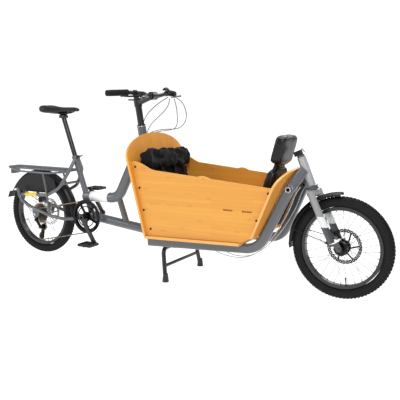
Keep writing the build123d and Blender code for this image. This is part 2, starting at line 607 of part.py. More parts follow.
# ---- drivetrain ----------------------------------------------------------------------------
def drivetrain():
    """Cranks, chainring, pedals, cassette, derailleur and chain."""
    bx, _, bz = BRACKET
    spindle = bar((bx, -96, bz), (bx, 96, bz), 8.5)
    a = math.radians(CRANK_DEG)
    tips = {"right": (bx + CRANK * math.cos(a), bz + CRANK * math.sin(a)),
            "left": (bx - CRANK * math.cos(a), bz - CRANK * math.sin(a))}
    arms = []
    for side, name in ((-1, "right"), (1, "left")):
        tx, tz = tips[name]
        y0, y1 = side * 94, side * 107
        low_y = min(y0, y1)
        outline = Pos(bx, bz) * Circle(18) + Pos(tx, tz) * Circle(14)
        mid = Pos((bx + tx) / 2, (bz + tz) / 2) * Rot(0, 0, CRANK_DEG) * Rectangle(CRANK, 24)
        arm = plate_xz(outline + mid, low_y, 13)
        arm -= bar((bx, -120, bz), (bx, 120, bz), 8.5)
        arm += bar((tx, y1 - side * 6, tz), (tx, side * 196, tz), 5.5)
        arms.append(arm)
    keep("crank_arms", spindle, *arms)

    ring = toothed(RING_TEETH, 2, CHAIN_Y, bx, bz, 78)
    guard_y = CHAIN_Y - 6.6
    guard = plate_xz(Pos(bx, bz) * (Circle(104) - Circle(88)), guard_y - 2, 2)
    spider = Pos(bx, bz) * (Circle(30) - Circle(8.5 + 0.01))
    for i in range(5):
        turn = CRANK_DEG + 36 + 72 * i
        spider += Pos(bx, bz) * Rot(0, 0, turn) * (Pos(50, 0) * Rectangle(80, 16))
    arms = plate_xz(spider, CHAIN_Y - 6.6, 5.6)
    hub = plate_xz(Pos(bx, bz) * (Circle(22) - Circle(8.51)), -94, 94 + CHAIN_Y - 4)
    bolts = []
    for i in range(5):
        turn = math.radians(CRANK_DEG + 36 + 72 * i)
        px, pz = bx + 84 * math.cos(turn), bz + 84 * math.sin(turn)
        bolts.append(bar((px, CHAIN_Y + 1, pz), (px, guard_y - 4, pz), 4.5))
    whole = ring + arms + hub
    for bolt in bolts:
        whole += bolt
    keep("chainring", whole + guard)

    for side, name in ((-1, "right"), (1, "left")):
        tx, tz = tips[name]
        centre = side * 157
        cage = block(tx, centre, tz, 92, 84, 15) - block(tx, centre, tz, 74, 66, 30)
        core = bar((tx, side * 115, tz), (tx, side * 199.5, tz), 10)
        ribs = block(tx, centre, tz, 90, 10, 12)
        pedal = cage + core + ribs
        pedal -= bar((tx, side * 100, tz), (tx, side * 196.3, tz), 5.5 + FIT)
        keep(f"pedal_{name}", pedal)

    stack = []
    for i, teeth in enumerate(SPROCKETS):
        y = CHAIN_Y + (CHAIN_SPROCKET - i) * SPROCKET_GAP
        stack.append(toothed(teeth, 1.8, y, 0, AXLE_Z, 18.05))
    y_in, y_out = CHAIN_Y + CHAIN_SPROCKET * SPROCKET_GAP + 0.9, CHAIN_Y - 2 * SPROCKET_GAP - 0.9
    carrier = bar((0, y_in, AXLE_Z), (0, y_out, AXLE_Z), 19.6, 18.05)
    whole = carrier
    for sprocket in stack:
        whole += sprocket
    keep("cassette", whole)
    chain()
    derailleur()


def tangent(c1, r1, s1, c2, r2, s2):
    """Ends of the straight run from circle 1 to circle 2; s is +1 for a left-turning wrap."""
    dx, dz = c2[0] - c1[0], c2[1] - c1[1]
    distance = math.hypot(dx, dz)
    heading = math.atan2(dz, dx)
    lean = math.asin((s2 * r2 - s1 * r1) / distance)
    turn = heading - lean
    first = (c1[0] + s1 * r1 * math.sin(turn), c1[1] - s1 * r1 * math.cos(turn))
    last = (c2[0] + s2 * r2 * math.sin(turn), c2[1] - s2 * r2 * math.cos(turn))
    return first, last


def chain():
    """Side plates of the chain, as two closed bands each side of the teeth."""
    ring_r = PITCH / (2 * math.sin(math.pi / RING_TEETH))
    sprocket_r = PITCH / (2 * math.sin(math.pi / SPROCKETS[CHAIN_SPROCKET]))
    wraps = [((BRACKET[0], BRACKET[2]), ring_r, -1), (TENSION, PULLEY_R, -1),
             (GUIDE, PULLEY_R, 1), ((0, AXLE_Z), sprocket_r, -1)]
    runs = []
    for first, second in zip(wraps, wraps[1:] + wraps[:1]):
        runs.append(tangent(*first, *second))
    edges = []
    for i, (centre, radius, sense) in enumerate(wraps):
        start, end = runs[i - 1][1], runs[i][0]
        a0 = math.degrees(math.atan2(start[1] - centre[1], start[0] - centre[0]))
        a1 = math.degrees(math.atan2(end[1] - centre[1], end[0] - centre[0]))
        arc = (a1 - a0) % 360 if sense > 0 else -((a0 - a1) % 360)
        edges.append(CenterArc(centre, radius, a0, arc))
        edges.append(Line(runs[i][0], runs[i][1]))
    inside = make_face(edges)
    band = offset(inside, 4.1) - offset(inside, -4.1)
    plates = [plate_xz(band, CHAIN_Y + 1.3, 2), plate_xz(band, CHAIN_Y - 3.3, 2)]
    keep("chain", *plates)


def derailleur():
    """Hanger, body, cage plates and the two pulleys."""
    gx, gz = GUIDE
    tx, tz = TENSION
    heading = math.degrees(math.atan2(gz - tz, gx - tx))
    length = math.hypot(gx - tx, gz - tz)
    cage = Pos((gx + tx) / 2, (gz + tz) / 2) * Rot(0, 0, heading) * SlotCenterToCenter(length, 20)
    plates = [plate_xz(cage, CHAIN_Y + 5, 1.6), plate_xz(cage, CHAIN_Y - 6.6, 1.6)]
    pins = [bar((x, CHAIN_Y - 8.5, z), (x, CHAIN_Y + 6.6, z), 2.6) for x, z in (GUIDE, TENSION)]
    body = plates[0] + plates[1] + pins[0] + pins[1]
    body += bar((gx, CHAIN_Y - 6.6, gz), (gx, -86, gz), 11)
    body += bar((gx, -79, gz), (12, -79, 226), 9)
    body += bar((12, -73.6, 226), (12, -86, 226), 10)
    hanger = plate_xz(Polygon((4, 239.9), (14, 239.9), (20, 226), (12, 214), (4, 226),
                              align=None), -73.5, 6)
    pulleys = []
    for x, z in (GUIDE, TENSION):
        disc = plate_xz(Pos(x, z) * (Circle(18) - Circle(2.6)), CHAIN_Y - 1.1, 2.2)
        disc += plate_xz(Pos(x, z) * (Circle(8) - Circle(2.6)), CHAIN_Y - 4, 8)
        pulleys.append(disc)
    keep("rear_derailleur", body, hanger, *pulleys)


# ---- small assemblies ----------------------------------------------------------------------
def seat():
    """Saddle, seat post and the collar's quick lever."""
    axis = (Vector(*SEAT_TOP) - Vector(*BRACKET)).normalized()
    top = Vector(*SEAT_TOP) + axis * 248
    low = Vector(*SEAT_TOP) - axis * 150
    post = bar(tuple(low), tuple(top), POST_R, 12.6)
    head = block(top.X - 1, 0, top.Z + 6, 44, 40, 18, 4)
    keep("seat_post", post + head)
    outline = make_face([Spline((326, 0), (318, 17), (262, 22), (190, 34), (120, 62), (76, 70),
                                (50, 52), (44, 0)), Line((44, 0), (326, 0))])
    half = extrude(Plane.XY.offset(908) * outline, 38)
    shape = half + mirror(half, Plane.XZ)
    under = block(190, 0, 900, 400, 200, 26)
    shape = fillet(shape.edges().filter_by(Axis.Z, reverse=True), 9) - under
    rails = [pipe([(70, y * 36, 918), (96, y * 34, 906), (150, y * 22, 902), (240, y * 22, 902),
                   (290, y * 12, 918)], [12, 30, 30], 3.5) for y in (-1, 1)]
    rails = [rail - shape - head for rail in rails]
    rails = [max(rail.solids(), key=lambda s: s.volume) for rail in rails]
    keep("saddle", shape, *rails)
    x, z = SEAT_TOP[0] + 31, SEAT_TOP[2] - 2
    lever = bar((x, -9.4, z), (x, -17, z), 5.5) + pipe([(x, -14, z), (x + 16, -16, z + 4),
                                                       (x + 40, -14, z + 8)], 12, 3.4)
    keep("collar_lever", lever)


def stand():
    """Two-legged stand with rubber feet."""
    sx, sz = STAND_AXIS
    legs = pipe([(1064, 191, 14), (sx, 172, sz), (sx, -172, sz), (1064, -191, 14)], 36, 12, 2.4)
    cross = bar((1052, -184, 84), (1052, 184, 84), 9)
    solid = pipe([(1064, 191, 14), (sx, 172, sz), (sx, -172, sz), (1064, -191, 14)], 36, 12)
    cross = max((cross - solid).solids(), key=lambda s: s.volume)
    foot = extrude(Plane(origin=(1066, 192, 0)) * Circle(19), 46, taper=7)
    foot -= solid
    foot = max(foot.solids(), key=lambda s: s.volume)
    keep("stand_legs", legs, cross, *both_sides(foot))


def calipers_and_cables():
    """Rear caliper, cables along the frame and the loops from the handlebar."""
    caliper = Pos(-46, 53, 338) * Rot(0, -20, 0) * Box(56, 34, 32)
    caliper -= plate_xz(Pos(0, AXLE_Z) * Circle(93), 49.6, 6.8)
    caliper -= stay("lower")
    caliper = max(caliper.solids(), key=lambda s: s.volume)
    keep("rear_caliper", caliper)
    routes = []
    for side in (-1, 1):
        routes.append([(x, side * y, z) for x, y, z in (
            (838, 32, 652), (870, 58, 566), (896, 84, 470), (918, 98, 374), (933, 100, 300),
            (945, 99, 240), (1020, 93, 238.6), (1130, 76, 239), (1215, 52, 208), (1300, 30, 160),
            (1380, 19, 141), (1460, 17, 145), (1530, 24, 178), (1590, 34, 232), (1646, 42, 300),
            (1692, 46, 376), (1730, 48, 452), (1752, 47, 522), (1776, 40, 556))])
    keep("frame_cables", *[cord(route, 2.5) for route in routes])
    loops = [
        [(880, 141, 1000), (862, 118, 985), (826, 84, 950), (786, 56, 902), (768, 40, 850),
         (780, 30, 800)],
        [(886, 146, 994), (886, 146, 966), (872, 118, 922), (838, 78, 876), (812, 46, 838),
         (803, 30, 796)],
        [(905, 166, 992), (914, 176, 950), (918, 180, 900), (922, 176, 852), (918, 160, 818),
         (886, 124, 808), (850, 76, 804), (822, 36, 790)],
        [(918, 160, 999), (944, 172, 986), (970, 182, 944), (980, 186, 890), (966, 182, 844),
         (926, 166, 814), (880, 134, 816), (842, 84, 812), (818, 42, 797)],
    ]
    keep("control_cables", *[cord(route, 2.5) for route in loops])
    hose = [(1752, 84, 540), (1772, 82, 524), (1800, 84, 500), (1830, 87, 464), (1856, 86, 424),
            (1876, 74, 386), (1888, 56, 356), (1892, 46, 340)]
    keep("front_brake_hose", cord(hose, 2.5))


frame()
rear_triangle()
rear_rack()
mudguards()
box()
cushions()
column()
controls()
fork()
drivetrain()
seat()
stand()
calipers_and_cables()
wheel("front", WHEELBASE, 29, 36, 27, 46, 36)
wheel("rear", 0, 20, 26, 21, 62, 52)
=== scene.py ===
"""Cargo bicycle with a bamboo load box: finishes, soft goods, treads, chain, cables and trim.

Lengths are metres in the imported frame. Sizes in the classes that name millimetres are measured
from the rear axle, as a frame builder measures them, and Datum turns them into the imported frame.
"""

import json
import logging
import math
from dataclasses import dataclass
from enum import Enum
from typing import Callable, Sequence

import bmesh
import bpy
from mathutils import Matrix, Vector, noise

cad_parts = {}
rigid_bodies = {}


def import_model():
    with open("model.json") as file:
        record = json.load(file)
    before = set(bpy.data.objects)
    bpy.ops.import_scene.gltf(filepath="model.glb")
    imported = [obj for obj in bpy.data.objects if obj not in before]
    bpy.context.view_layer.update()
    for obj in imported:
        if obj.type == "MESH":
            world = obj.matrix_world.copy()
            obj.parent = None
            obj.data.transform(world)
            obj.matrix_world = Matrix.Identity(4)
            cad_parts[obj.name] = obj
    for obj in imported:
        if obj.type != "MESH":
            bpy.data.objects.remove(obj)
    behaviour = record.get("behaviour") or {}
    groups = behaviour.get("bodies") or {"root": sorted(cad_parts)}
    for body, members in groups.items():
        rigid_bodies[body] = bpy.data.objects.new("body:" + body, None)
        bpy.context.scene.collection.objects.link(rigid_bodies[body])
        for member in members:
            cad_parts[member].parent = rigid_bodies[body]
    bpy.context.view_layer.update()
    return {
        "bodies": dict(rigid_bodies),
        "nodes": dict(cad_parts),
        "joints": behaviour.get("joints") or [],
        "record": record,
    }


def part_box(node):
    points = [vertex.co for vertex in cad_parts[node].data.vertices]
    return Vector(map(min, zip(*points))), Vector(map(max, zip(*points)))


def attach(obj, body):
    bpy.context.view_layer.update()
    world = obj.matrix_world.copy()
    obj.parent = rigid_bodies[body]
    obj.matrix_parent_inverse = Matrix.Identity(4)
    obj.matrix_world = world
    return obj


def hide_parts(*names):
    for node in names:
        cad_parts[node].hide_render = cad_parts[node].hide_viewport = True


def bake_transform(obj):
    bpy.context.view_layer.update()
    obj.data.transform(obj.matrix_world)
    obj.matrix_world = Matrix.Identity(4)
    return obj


log = logging.getLogger("cargo_bicycle")
Colour = tuple[float, float, float]
Point = tuple[float, float, float]
MM = 0.001
UP, LEFT, AHEAD = Vector((0, 0, 1)), Vector((0, 1, 0)), Vector((1, 0, 0))
AXLE_Z = 260                    # both axles' height in millimetres
CRANK_X, CRANK_Z = 408, 280     # the crank's axis in millimetres


# ---- where things are ----------------------------------------------------------------------
@dataclass(frozen=True)
class Datum:
    """The rear axle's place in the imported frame."""

    rear_x: float

    @classmethod
    def from_frame(cls) -> "Datum":
        """Read the rear axle's place from the rear tyre's box."""
        low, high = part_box("rear_tyre")
        return cls(rear_x=(low.x + high.x) / 2)

    def at(self, x: float, y: float, z: float) -> Vector:
        """Point given in millimetres from the rear axle, the middle plane and the ground."""
        return Vector((self.rear_x + x * MM, y * MM, z * MM))


def squared(value: float, power: float) -> float:
    """A sine or cosine raised to a power below 1, sign kept, which squares up a round outline."""
    return math.copysign(abs(value) ** power, value)


# ---- node helpers --------------------------------------------------------------------------
class Shader:
    """A material's node tree, with short calls for the nodes that the finishes share."""

    def __init__(self, name: str) -> None:
        """Start an empty material with a Principled shader.

        Args:
            name: the material's name.
        """
        self.material = bpy.data.materials.new(name)
        self.material.use_nodes = True
        self.tree = self.material.node_tree
        self.shader = self.tree.nodes["Principled BSDF"]
        self.coords = self.tree.nodes.new("ShaderNodeTexCoord")

    def node(self, kind: str, **values: object) -> bpy.types.Node:
        """Add a node; values named as inputs are set on its sockets.

        Args:
            kind: the node's type name.
            **values: attribute or socket values, sockets with underscores for spaces.

        Returns:
            The new node.
        """
        made = self.tree.nodes.new(kind)
        for name, value in values.items():
            if hasattr(made, name):
                setattr(made, name, value)
            else:
                made.inputs[name.replace("_", " ")].default_value = value
        return made

    def link(self, source: bpy.types.NodeSocket, target: bpy.types.NodeSocket) -> None:
        """Join two sockets."""
        self.tree.links.new(source, target)

    def scaled(self, scale: Point, turn: Point = (0, 0, 0)) -> bpy.types.NodeSocket:
        """Object coordinates through a Mapping node.

        Args:
            scale: factor on each axis.
            turn: rotation in radians.

        Returns:
            The vector socket.
        """
        mapping = self.tree.nodes.new("ShaderNodeMapping")
        mapping.inputs["Scale"].default_value = scale
        mapping.inputs["Rotation"].default_value = turn
        self.link(self.coords.outputs["Object"], mapping.inputs["Vector"])
        return mapping.outputs["Vector"]

    def noise(self, scale: float, detail: float = 3, vector: bpy.types.NodeSocket | None = None
              ) -> bpy.types.NodeSocket:
        """Noise over the object, as a number from 0 to 1."""
        made = self.node("ShaderNodeTexNoise", Scale=scale, Detail=detail)
        self.link(vector or self.coords.outputs["Object"], made.inputs["Vector"])
        return made.outputs["Fac"]

    def ramp(self, factor: bpy.types.NodeSocket, stops: Sequence[tuple[float, Colour]],
             sharp: bool = False) -> bpy.types.NodeSocket:
        """Colours along a factor.

        Args:
            factor: the number to read.
            stops: positions and colours.
            sharp: steps instead of blends.

        Returns:
            The colour socket.
        """
        made = self.tree.nodes.new("ShaderNodeValToRGB")
        made.color_ramp.interpolation = "CONSTANT" if sharp else "LINEAR"
        elements = made.color_ramp.elements
        while len(elements) < len(stops):
            elements.new(0.5)
        for element, (position, colour) in zip(elements, stops):
            element.position = position
            element.color = (*colour, 1)
        self.link(factor, made.inputs["Fac"])
        return made.outputs["Color"]

    def mix(self, factor: bpy.types.NodeSocket | float, a: object, b: object
            ) -> bpy.types.NodeSocket:
        """Mix two colours; each is a socket or a colour."""
        made = self.tree.nodes.new("ShaderNodeMix")
        made.data_type = "RGBA"
        for index, value in ((0, factor), (6, a), (7, b)):
            if isinstance(value, bpy.types.NodeSocket):
                self.link(value, made.inputs[index])
            elif isinstance(value, (int, float)):
                made.inputs[index].default_value = value
            else:
                made.inputs[index].default_value = (*value, 1)
        return made.outputs[2]

    def math(self, operation: str, a: object, b: object = 0.0) -> bpy.types.NodeSocket:
        """One Math node; each operand is a socket or a number."""
        made = self.node("ShaderNodeMath", operation=operation)
        for index, value in enumerate((a, b)):
            if isinstance(value, bpy.types.NodeSocket):
                self.link(value, made.inputs[index])
            else:
                made.inputs[index].default_value = value
        return made.outputs[0]

    def bump(self, height: bpy.types.NodeSocket, distance: float, strength: float = 1.0,
             under: bpy.types.NodeSocket | None = None) -> bpy.types.NodeSocket:
        """Bump from a height, on top of another normal if given, wired to the shader."""
        made = self.node("ShaderNodeBump", Strength=strength, Distance=distance)
        self.link(height, made.inputs["Height"])
        if under:
            self.link(under, made.inputs["Normal"])
        self.link(made.outputs["Normal"], self.shader.inputs["Normal"])
        return made.outputs["Normal"]

    def roughen(self, source: bpy.types.NodeSocket, spread: float, base: float) -> None:
        """Wire the roughness to a factor: base where it is 0, base and spread where it is 1."""
        rough = self.math("MULTIPLY_ADD", source, spread)
        rough.node.inputs[2].default_value = base
        self.set(Roughness=rough)

    def set(self, **values: object) -> None:
        """Set or link the Principled shader's sockets, with underscores for spaces."""
        for name, value in values.items():
            socket = self.shader.inputs[name.replace("_", " ")]
            if isinstance(value, bpy.types.NodeSocket):
                self.link(value, socket)
            elif isinstance(value, tuple) and len(value) == 3:
                socket.default_value = (*value, 1)
            else:
                socket.default_value = value

    def axis(self, name: str) -> bpy.types.NodeSocket:
        """One of the object coordinates X, Y and Z."""
        split = self.tree.nodes.new("ShaderNodeSeparateXYZ")
        self.link(self.coords.outputs["Object"], split.inputs["Vector"])
        return split.outputs[name]


# ---- finishes ------------------------------------------------------------------------------
@dataclass(frozen=True)
class Paint:
    """Sprayed paint with a faint orange peel and a clear coat."""

    name: str
    colour: Colour
    roughness: float = 0.34
    coat: float = 0.45
    metallic: float = 0.0

    def build(self) -> bpy.types.Material:
        """Make the material."""
        s = Shader(self.name)
        drift = s.noise(3.0, 4)
        worn = tuple(min(1.0, c * 1.22 + 0.004) for c in self.colour)
        s.set(Base_Color=s.mix(drift, self.colour, worn), Metallic=self.metallic,
              Coat_Weight=self.coat, Coat_Roughness=0.12)
        s.roughen(s.noise(38, 3), 0.16, self.roughness - 0.08)
        s.bump(s.noise(420, 2), 0.00012, 0.5)
        return s.material


@dataclass(frozen=True)
class Metal:
    """Bare or anodised metal with fine machining marks."""

    name: str
    colour: Colour
    roughness: float = 0.28
    grime: float = 0.0

    def build(self) -> bpy.types.Material:
        """Make the material."""
        s = Shader(self.name)
        dull = tuple(c * (1 - 0.55 * self.grime) for c in self.colour)
        s.set(Base_Color=s.mix(s.noise(46, 4), self.colour, dull), Metallic=1.0)
        marks = s.noise(60, 3, s.scaled((9, 9, 1)))
        s.roughen(marks, 0.22, self.roughness - 0.09)
        s.bump(marks, 0.00008, 0.5)
        return s.material


@dataclass(frozen=True)
class Moulded:
    """Plastic or rubber with a spark-eroded grain."""

    name: str
    colour: Colour
    roughness: float = 0.5
    grain: float = 900
    depth: float = 0.00012
    sheen: float = 0.0
    specular: float = 0.35

    def build(self) -> bpy.types.Material:
        """Make the material."""
        s = Shader(self.name)
        pale = tuple(c * 1.6 + 0.002 for c in self.colour)
        s.set(Base_Color=s.mix(s.noise(22, 5), self.colour, pale), Sheen_Weight=self.sheen,
              Specular_IOR_Level=self.specular)
        s.roughen(s.noise(30, 4), 0.2, self.roughness - 0.1)
        s.bump(s.noise(self.grain, 2), self.depth, 0.7)
        return s.material


EDGE_FACING = 0.55      # a face turned further than this from the board's plane is an edge
SLOT_HALF = 0.0046      # half the height of a laser-cut slot


class Lay(Enum):
    """How a board's bamboo strips run: along, then across."""

    SIDE = ("X", "Z", "Y")
    ACROSS = ("Z", "Y", "X")
    FLOOR = ("X", "Y", "Z")


@dataclass(frozen=True)
class Bamboo:
    """Laminated bamboo board: strips, grain, knuckles and a pale layered edge."""

    name: str
    lay: Lay
    strip: float = 0.021
    light: Colour = (0.82, 0.365, 0.045)
    dark: Colour = (0.72, 0.285, 0.03)
    char_and_shade_z: float = 0.0       # height of the slots, whose walls are painted near black, part laser char and part painted shade; 0 for none
    char_and_shade_x: float = 0.32
    char_and_shade_reach: float = 0.31

    def build(self) -> bpy.types.Material:
        """Make the material."""
        s = Shader(self.name)
        run, across, through = (s.axis(n) for n in self.lay.value)
        flat = s.node("ShaderNodeCombineXYZ")
        s.link(run, flat.inputs["X"])
        s.link(across, flat.inputs["Y"])

        def stretched(along: float, over: float) -> bpy.types.NodeSocket:
            """The board's own plane, scaled along the strips and over them."""
            made = s.node("ShaderNodeVectorMath", operation="MULTIPLY")
            made.inputs[1].default_value = (along, over, 1)
            s.link(flat.outputs[0], made.inputs[0])
            return made.outputs[0]

        strips = s.node("ShaderNodeTexBrick", offset=0.37, Scale=1.0, Mortar_Size=0.0004,
                        Mortar_Smooth=0.4, Bias=0.0, Brick_Width=0.62, Row_Height=self.strip)
        strips.inputs["Color1"].default_value = (*self.light, 1)
        strips.inputs["Color2"].default_value = (*self.dark, 1)
        strips.inputs["Mortar"].default_value = (0.40, 0.19, 0.045, 1)
        s.link(flat.outputs[0], strips.inputs["Vector"])
        grain = s.noise(1.0, 6, stretched(5, 260))
        toned = s.mix(s.math("MULTIPLY", grain, 0.55), strips.outputs["Color"],
                      (0.52, 0.235, 0.05))
        broad = s.noise(1.0, 2, stretched(1.2, 7))
        toned = s.mix(s.math("MULTIPLY", broad, 0.45), toned, (0.92, 0.44, 0.055))
        knots = s.node("ShaderNodeTexVoronoi", voronoi_dimensions="2D", Scale=1.0)
        s.link(stretched(4.2, 13), knots.inputs["Vector"])
        spot = s.ramp(knots.outputs["Distance"], ((0.0, (0.3,) * 3), (0.05, (0.12,) * 3),
                                                 (0.1, (0.0,) * 3)))
        toned = s.mix(spot, toned, (0.24, 0.09, 0.02))
        edge = s.node("ShaderNodeSeparateXYZ")
        s.link(s.coords.outputs["Normal"], edge.inputs["Vector"])
        facing = s.math("ABSOLUTE", edge.outputs[self.lay.value[2]])
        is_edge = s.math("LESS_THAN", facing, EDGE_FACING)
        layers = s.node("ShaderNodeTexWave", wave_type="BANDS", bands_direction="X",
                        Scale=78.0, Distortion=0.6)
        line = s.node("ShaderNodeCombineXYZ")
        s.link(through, line.inputs["X"])
        s.link(line.outputs[0], layers.inputs["Vector"])
        pale = s.mix(layers.outputs["Fac"], (0.88, 0.51, 0.15), (0.72, 0.34, 0.07))
        surface = s.mix(is_edge, toned, pale)
        # slot walls painted near black: partly the laser's char, partly painted shade of the slot's
        # dark inside
        if self.char_and_shade_z:
            level = s.math("ABSOLUTE", s.math("SUBTRACT", s.axis("Z"), self.char_and_shade_z))
            near = s.math("LESS_THAN", level, SLOT_HALF)
            within = s.math("LESS_THAN", s.math("ABSOLUTE", s.math(
                "SUBTRACT", s.axis("X"), self.char_and_shade_x)), self.char_and_shade_reach)
            char_and_shade_mask = s.math("MULTIPLY", s.math("MULTIPLY", near, within), is_edge)
            surface = s.mix(char_and_shade_mask, surface, (0.012, 0.006, 0.003))
        s.set(Base_Color=surface, Coat_Weight=0.15, Coat_Roughness=0.2)
        s.roughen(grain, 0.2, 0.34)
        s.bump(grain, 0.0003, 0.3)
        return s.material


@dataclass(frozen=True)
class Cloth:
    """Woven cloth with crossing threads and a soft sheen."""

    name: str
    colour: Colour
    threads: float = 420
    sheen: float = 0.35

    def build(self) -> bpy.types.Material:
        """Make the material."""
        s = Shader(self.name)
        heights = []
        for turn in ((0, 0, 0.3), (0, 1.4, 0.2)):
            wave = s.node("ShaderNodeTexWave", wave_type="BANDS", bands_direction="X",
                          Scale=self.threads / 6.283, Distortion=1.2, Detail=1.0)
            s.link(s.scaled((1, 1, 1), turn), wave.inputs["Vector"])
            heights.append(wave.outputs["Fac"])
        weave = s.math("ADD", *heights)
        pale = tuple(c * 2.0 + 0.003 for c in self.colour)
        s.set(Base_Color=s.mix(s.math("MULTIPLY", weave, 0.35), self.colour, pale),
              Roughness=0.88, Sheen_Weight=self.sheen, Sheen_Roughness=0.45,
              Specular_IOR_Level=0.2)
        under = s.bump(s.noise(34, 4), 0.002, 0.35)
        s.bump(weave, 0.00035, 0.6, under)
        return s.material


@dataclass(frozen=True)
class Vinyl:
    """Coated fabric or saddle cover with a fine pebble grain."""

    name: str
    colour: Colour
    roughness: float = 0.4

    def build(self) -> bpy.types.Material:
        """Make the material."""
        s = Shader(self.name)
        cells = s.node("ShaderNodeTexVoronoi", Scale=620.0)
        s.link(s.coords.outputs["Object"], cells.inputs["Vector"])
        pale = tuple(c * 1.6 + 0.002 for c in self.colour)
        s.set(Base_Color=s.mix(s.noise(9, 4), self.colour, pale), Coat_Weight=0.08,
              Coat_Roughness=0.3, Specular_IOR_Level=0.35)
        s.roughen(s.noise(18, 3), 0.18, self.roughness - 0.08)
        under = s.bump(s.noise(26, 3), 0.0016, 0.25)
        s.bump(cells.outputs["Distance"], 0.0002, 0.55, under)
        return s.material


@dataclass(frozen=True)
class BandedPaint:
    """Paint whose colour changes in steps along the steering axis, for the fork legs."""

    name: str
    bands: tuple[tuple[float, Colour], ...]
    low: float
    high: float

    def build(self) -> bpy.types.Material:
        """Make the material."""
        s = Shader(self.name)
        height = s.axis("Z")
        span = s.math("SUBTRACT", height, self.low)
        span = s.math("DIVIDE", span, self.high - self.low)
        s.set(Base_Color=s.ramp(span, self.bands, sharp=True), Coat_Weight=0.45,
              Coat_Roughness=0.12)
        s.roughen(s.noise(38, 3), 0.14, 0.28)
        s.bump(s.noise(420, 2), 0.00012, 0.5)
        return s.material


SLATE = (0.088, 0.098, 0.110)
BLACK = (0.005, 0.005, 0.0055)


class Finishes:
    """Every material, made once."""

    def __init__(self) -> None:
        """Build the materials."""
        self.slate = Paint("slate_paint", SLATE).build()
        self.silver_paint = Paint("silver_paint", (0.42, 0.43, 0.44), 0.3, 0.5, 0.35).build()
        self.white_paint = Paint("white_paint", (0.82, 0.83, 0.84), 0.3).build()
        self.yellow = Paint("yellow_sleeve", (0.82, 0.55, 0.02), 0.45, 0.1).build()
        self.black_paint = Paint("black_paint", BLACK, 0.36, 0.3).build()
        self.black_alloy = Metal("black_anodised", (0.025, 0.025, 0.027), 0.34).build()
        self.alloy = Metal("silver_alloy", (0.58, 0.59, 0.60), 0.3).build()
        self.steel = Metal("stainless", (0.62, 0.62, 0.62), 0.24).build()
        self.spoke = Metal("spoke_steel", (0.16, 0.16, 0.17), 0.3).build()
        self.chain_steel = Metal("oiled_steel", (0.36, 0.30, 0.24), 0.34, 0.6).build()
        self.tyre = Moulded("tyre_rubber", (0.0055, 0.0055, 0.006), 0.7, 500, 0.0002,
                            specular=0.22).build()
        self.rubber = Moulded("grip_rubber", (0.006, 0.006, 0.006), 0.7, 700, 0.0002,
                              specular=0.22).build()
        self.plastic = Moulded("black_plastic", (0.006, 0.006, 0.0065), 0.38).build()
        self.cable = Moulded("cable_housing", (0.14, 0.145, 0.15), 0.35, 300, 0.0001).build()
        self.grey_cable = Moulded("pale_housing", (0.42, 0.43, 0.44), 0.35, 300, 0.0001).build()
        self.clear = Moulded("reflector_white", (0.78, 0.80, 0.82), 0.15, 300, 0.0004).build()
        self.red = Moulded("reflector_red", (0.45, 0.012, 0.012), 0.15, 300, 0.0004).build()
        self.side_board = Bamboo("bamboo_side", Lay.SIDE, char_and_shade_z=0.44).build()
        self.cross_board = Bamboo("bamboo_upright", Lay.ACROSS, strip=0.024,
                                  light=(0.84, 0.33, 0.022), dark=(0.75, 0.255, 0.015)).build()
        self.floor_board = Bamboo("bamboo_floor", Lay.FLOOR, light=(0.9, 0.52, 0.14)).build()
        self.cloth = Cloth("black_cloth", (0.0035, 0.0035, 0.0045), sheen=0.06).build()
        self.webbing = Cloth("black_webbing", (0.010, 0.010, 0.011), 900, 0.1).build()
        self.vinyl = Vinyl("black_vinyl", (0.0035, 0.0033, 0.0033), 0.36).build()
        self.saddle = Vinyl("saddle_cover", (0.006, 0.006, 0.0065), 0.42).build()
        self.fork = BandedPaint(
            "fork_paint", ((0.0, (0.055, 0.06, 0.066)), (0.38, (0.80, 0.81, 0.82)),
                           (0.50, (0.30, 0.31, 0.32)), (0.78, SLATE)), 0.20, 0.64).build()


# ---- mesh helpers --------------------------------------------------------------------------
def add_object(name: str, mesh: bpy.types.Mesh, finish: bpy.types.Material) -> bpy.types.Object:
    """Put a mesh in the scene with one finish.

    Args:
        name: the piece's name.
        mesh: its mesh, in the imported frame.
        finish: its material.

    Returns:
        The new object.
    """
    mesh.materials.clear()
    mesh.materials.append(finish)
    made = bpy.data.objects.new(name, mesh)
    bpy.context.scene.collection.objects.link(made)
    return made


def baked(made: bpy.types.Object) -> bpy.types.Mesh:
    """An object's mesh with its modifiers or bevel applied."""
    graph = bpy.context.evaluated_depsgraph_get()
    bpy.context.view_layer.update()
    return bpy.data.meshes.new_from_object(made.evaluated_get(graph))


def subdivide(made: bpy.types.Object, levels: int) -> None:
    """Subdivide an object and keep the result in its mesh."""
    modifier = made.modifiers.new("fine", "SUBSURF")
    modifier.levels = modifier.render_levels = levels
    mesh = baked(made)
    made.modifiers.clear()
    made.data = mesh


def round_table(first: Vector, second: Vector, count: int) -> list[Vector]:
    """Unit directions round a circle, from the first axis towards the second."""
    return [first * math.cos(t) + second * math.sin(t)
            for t in (math.tau * k / count for k in range(count))]


def mesh_from(name: str, build: Callable[[bmesh.types.BMesh], None],
              smooth: bool = True) -> bpy.types.Mesh:
    """A mesh that a function fills, with its normals made to point outwards."""
    bm = bmesh.new()
    build(bm)
    bmesh.ops.remove_doubles(bm, verts=bm.verts, dist=1e-6)
    bmesh.ops.recalc_face_normals(bm, faces=bm.faces)
    mesh = bpy.data.meshes.new(name)
    bm.to_mesh(mesh)
    bm.free()
    if smooth:
        mesh.shade_smooth()
    return mesh


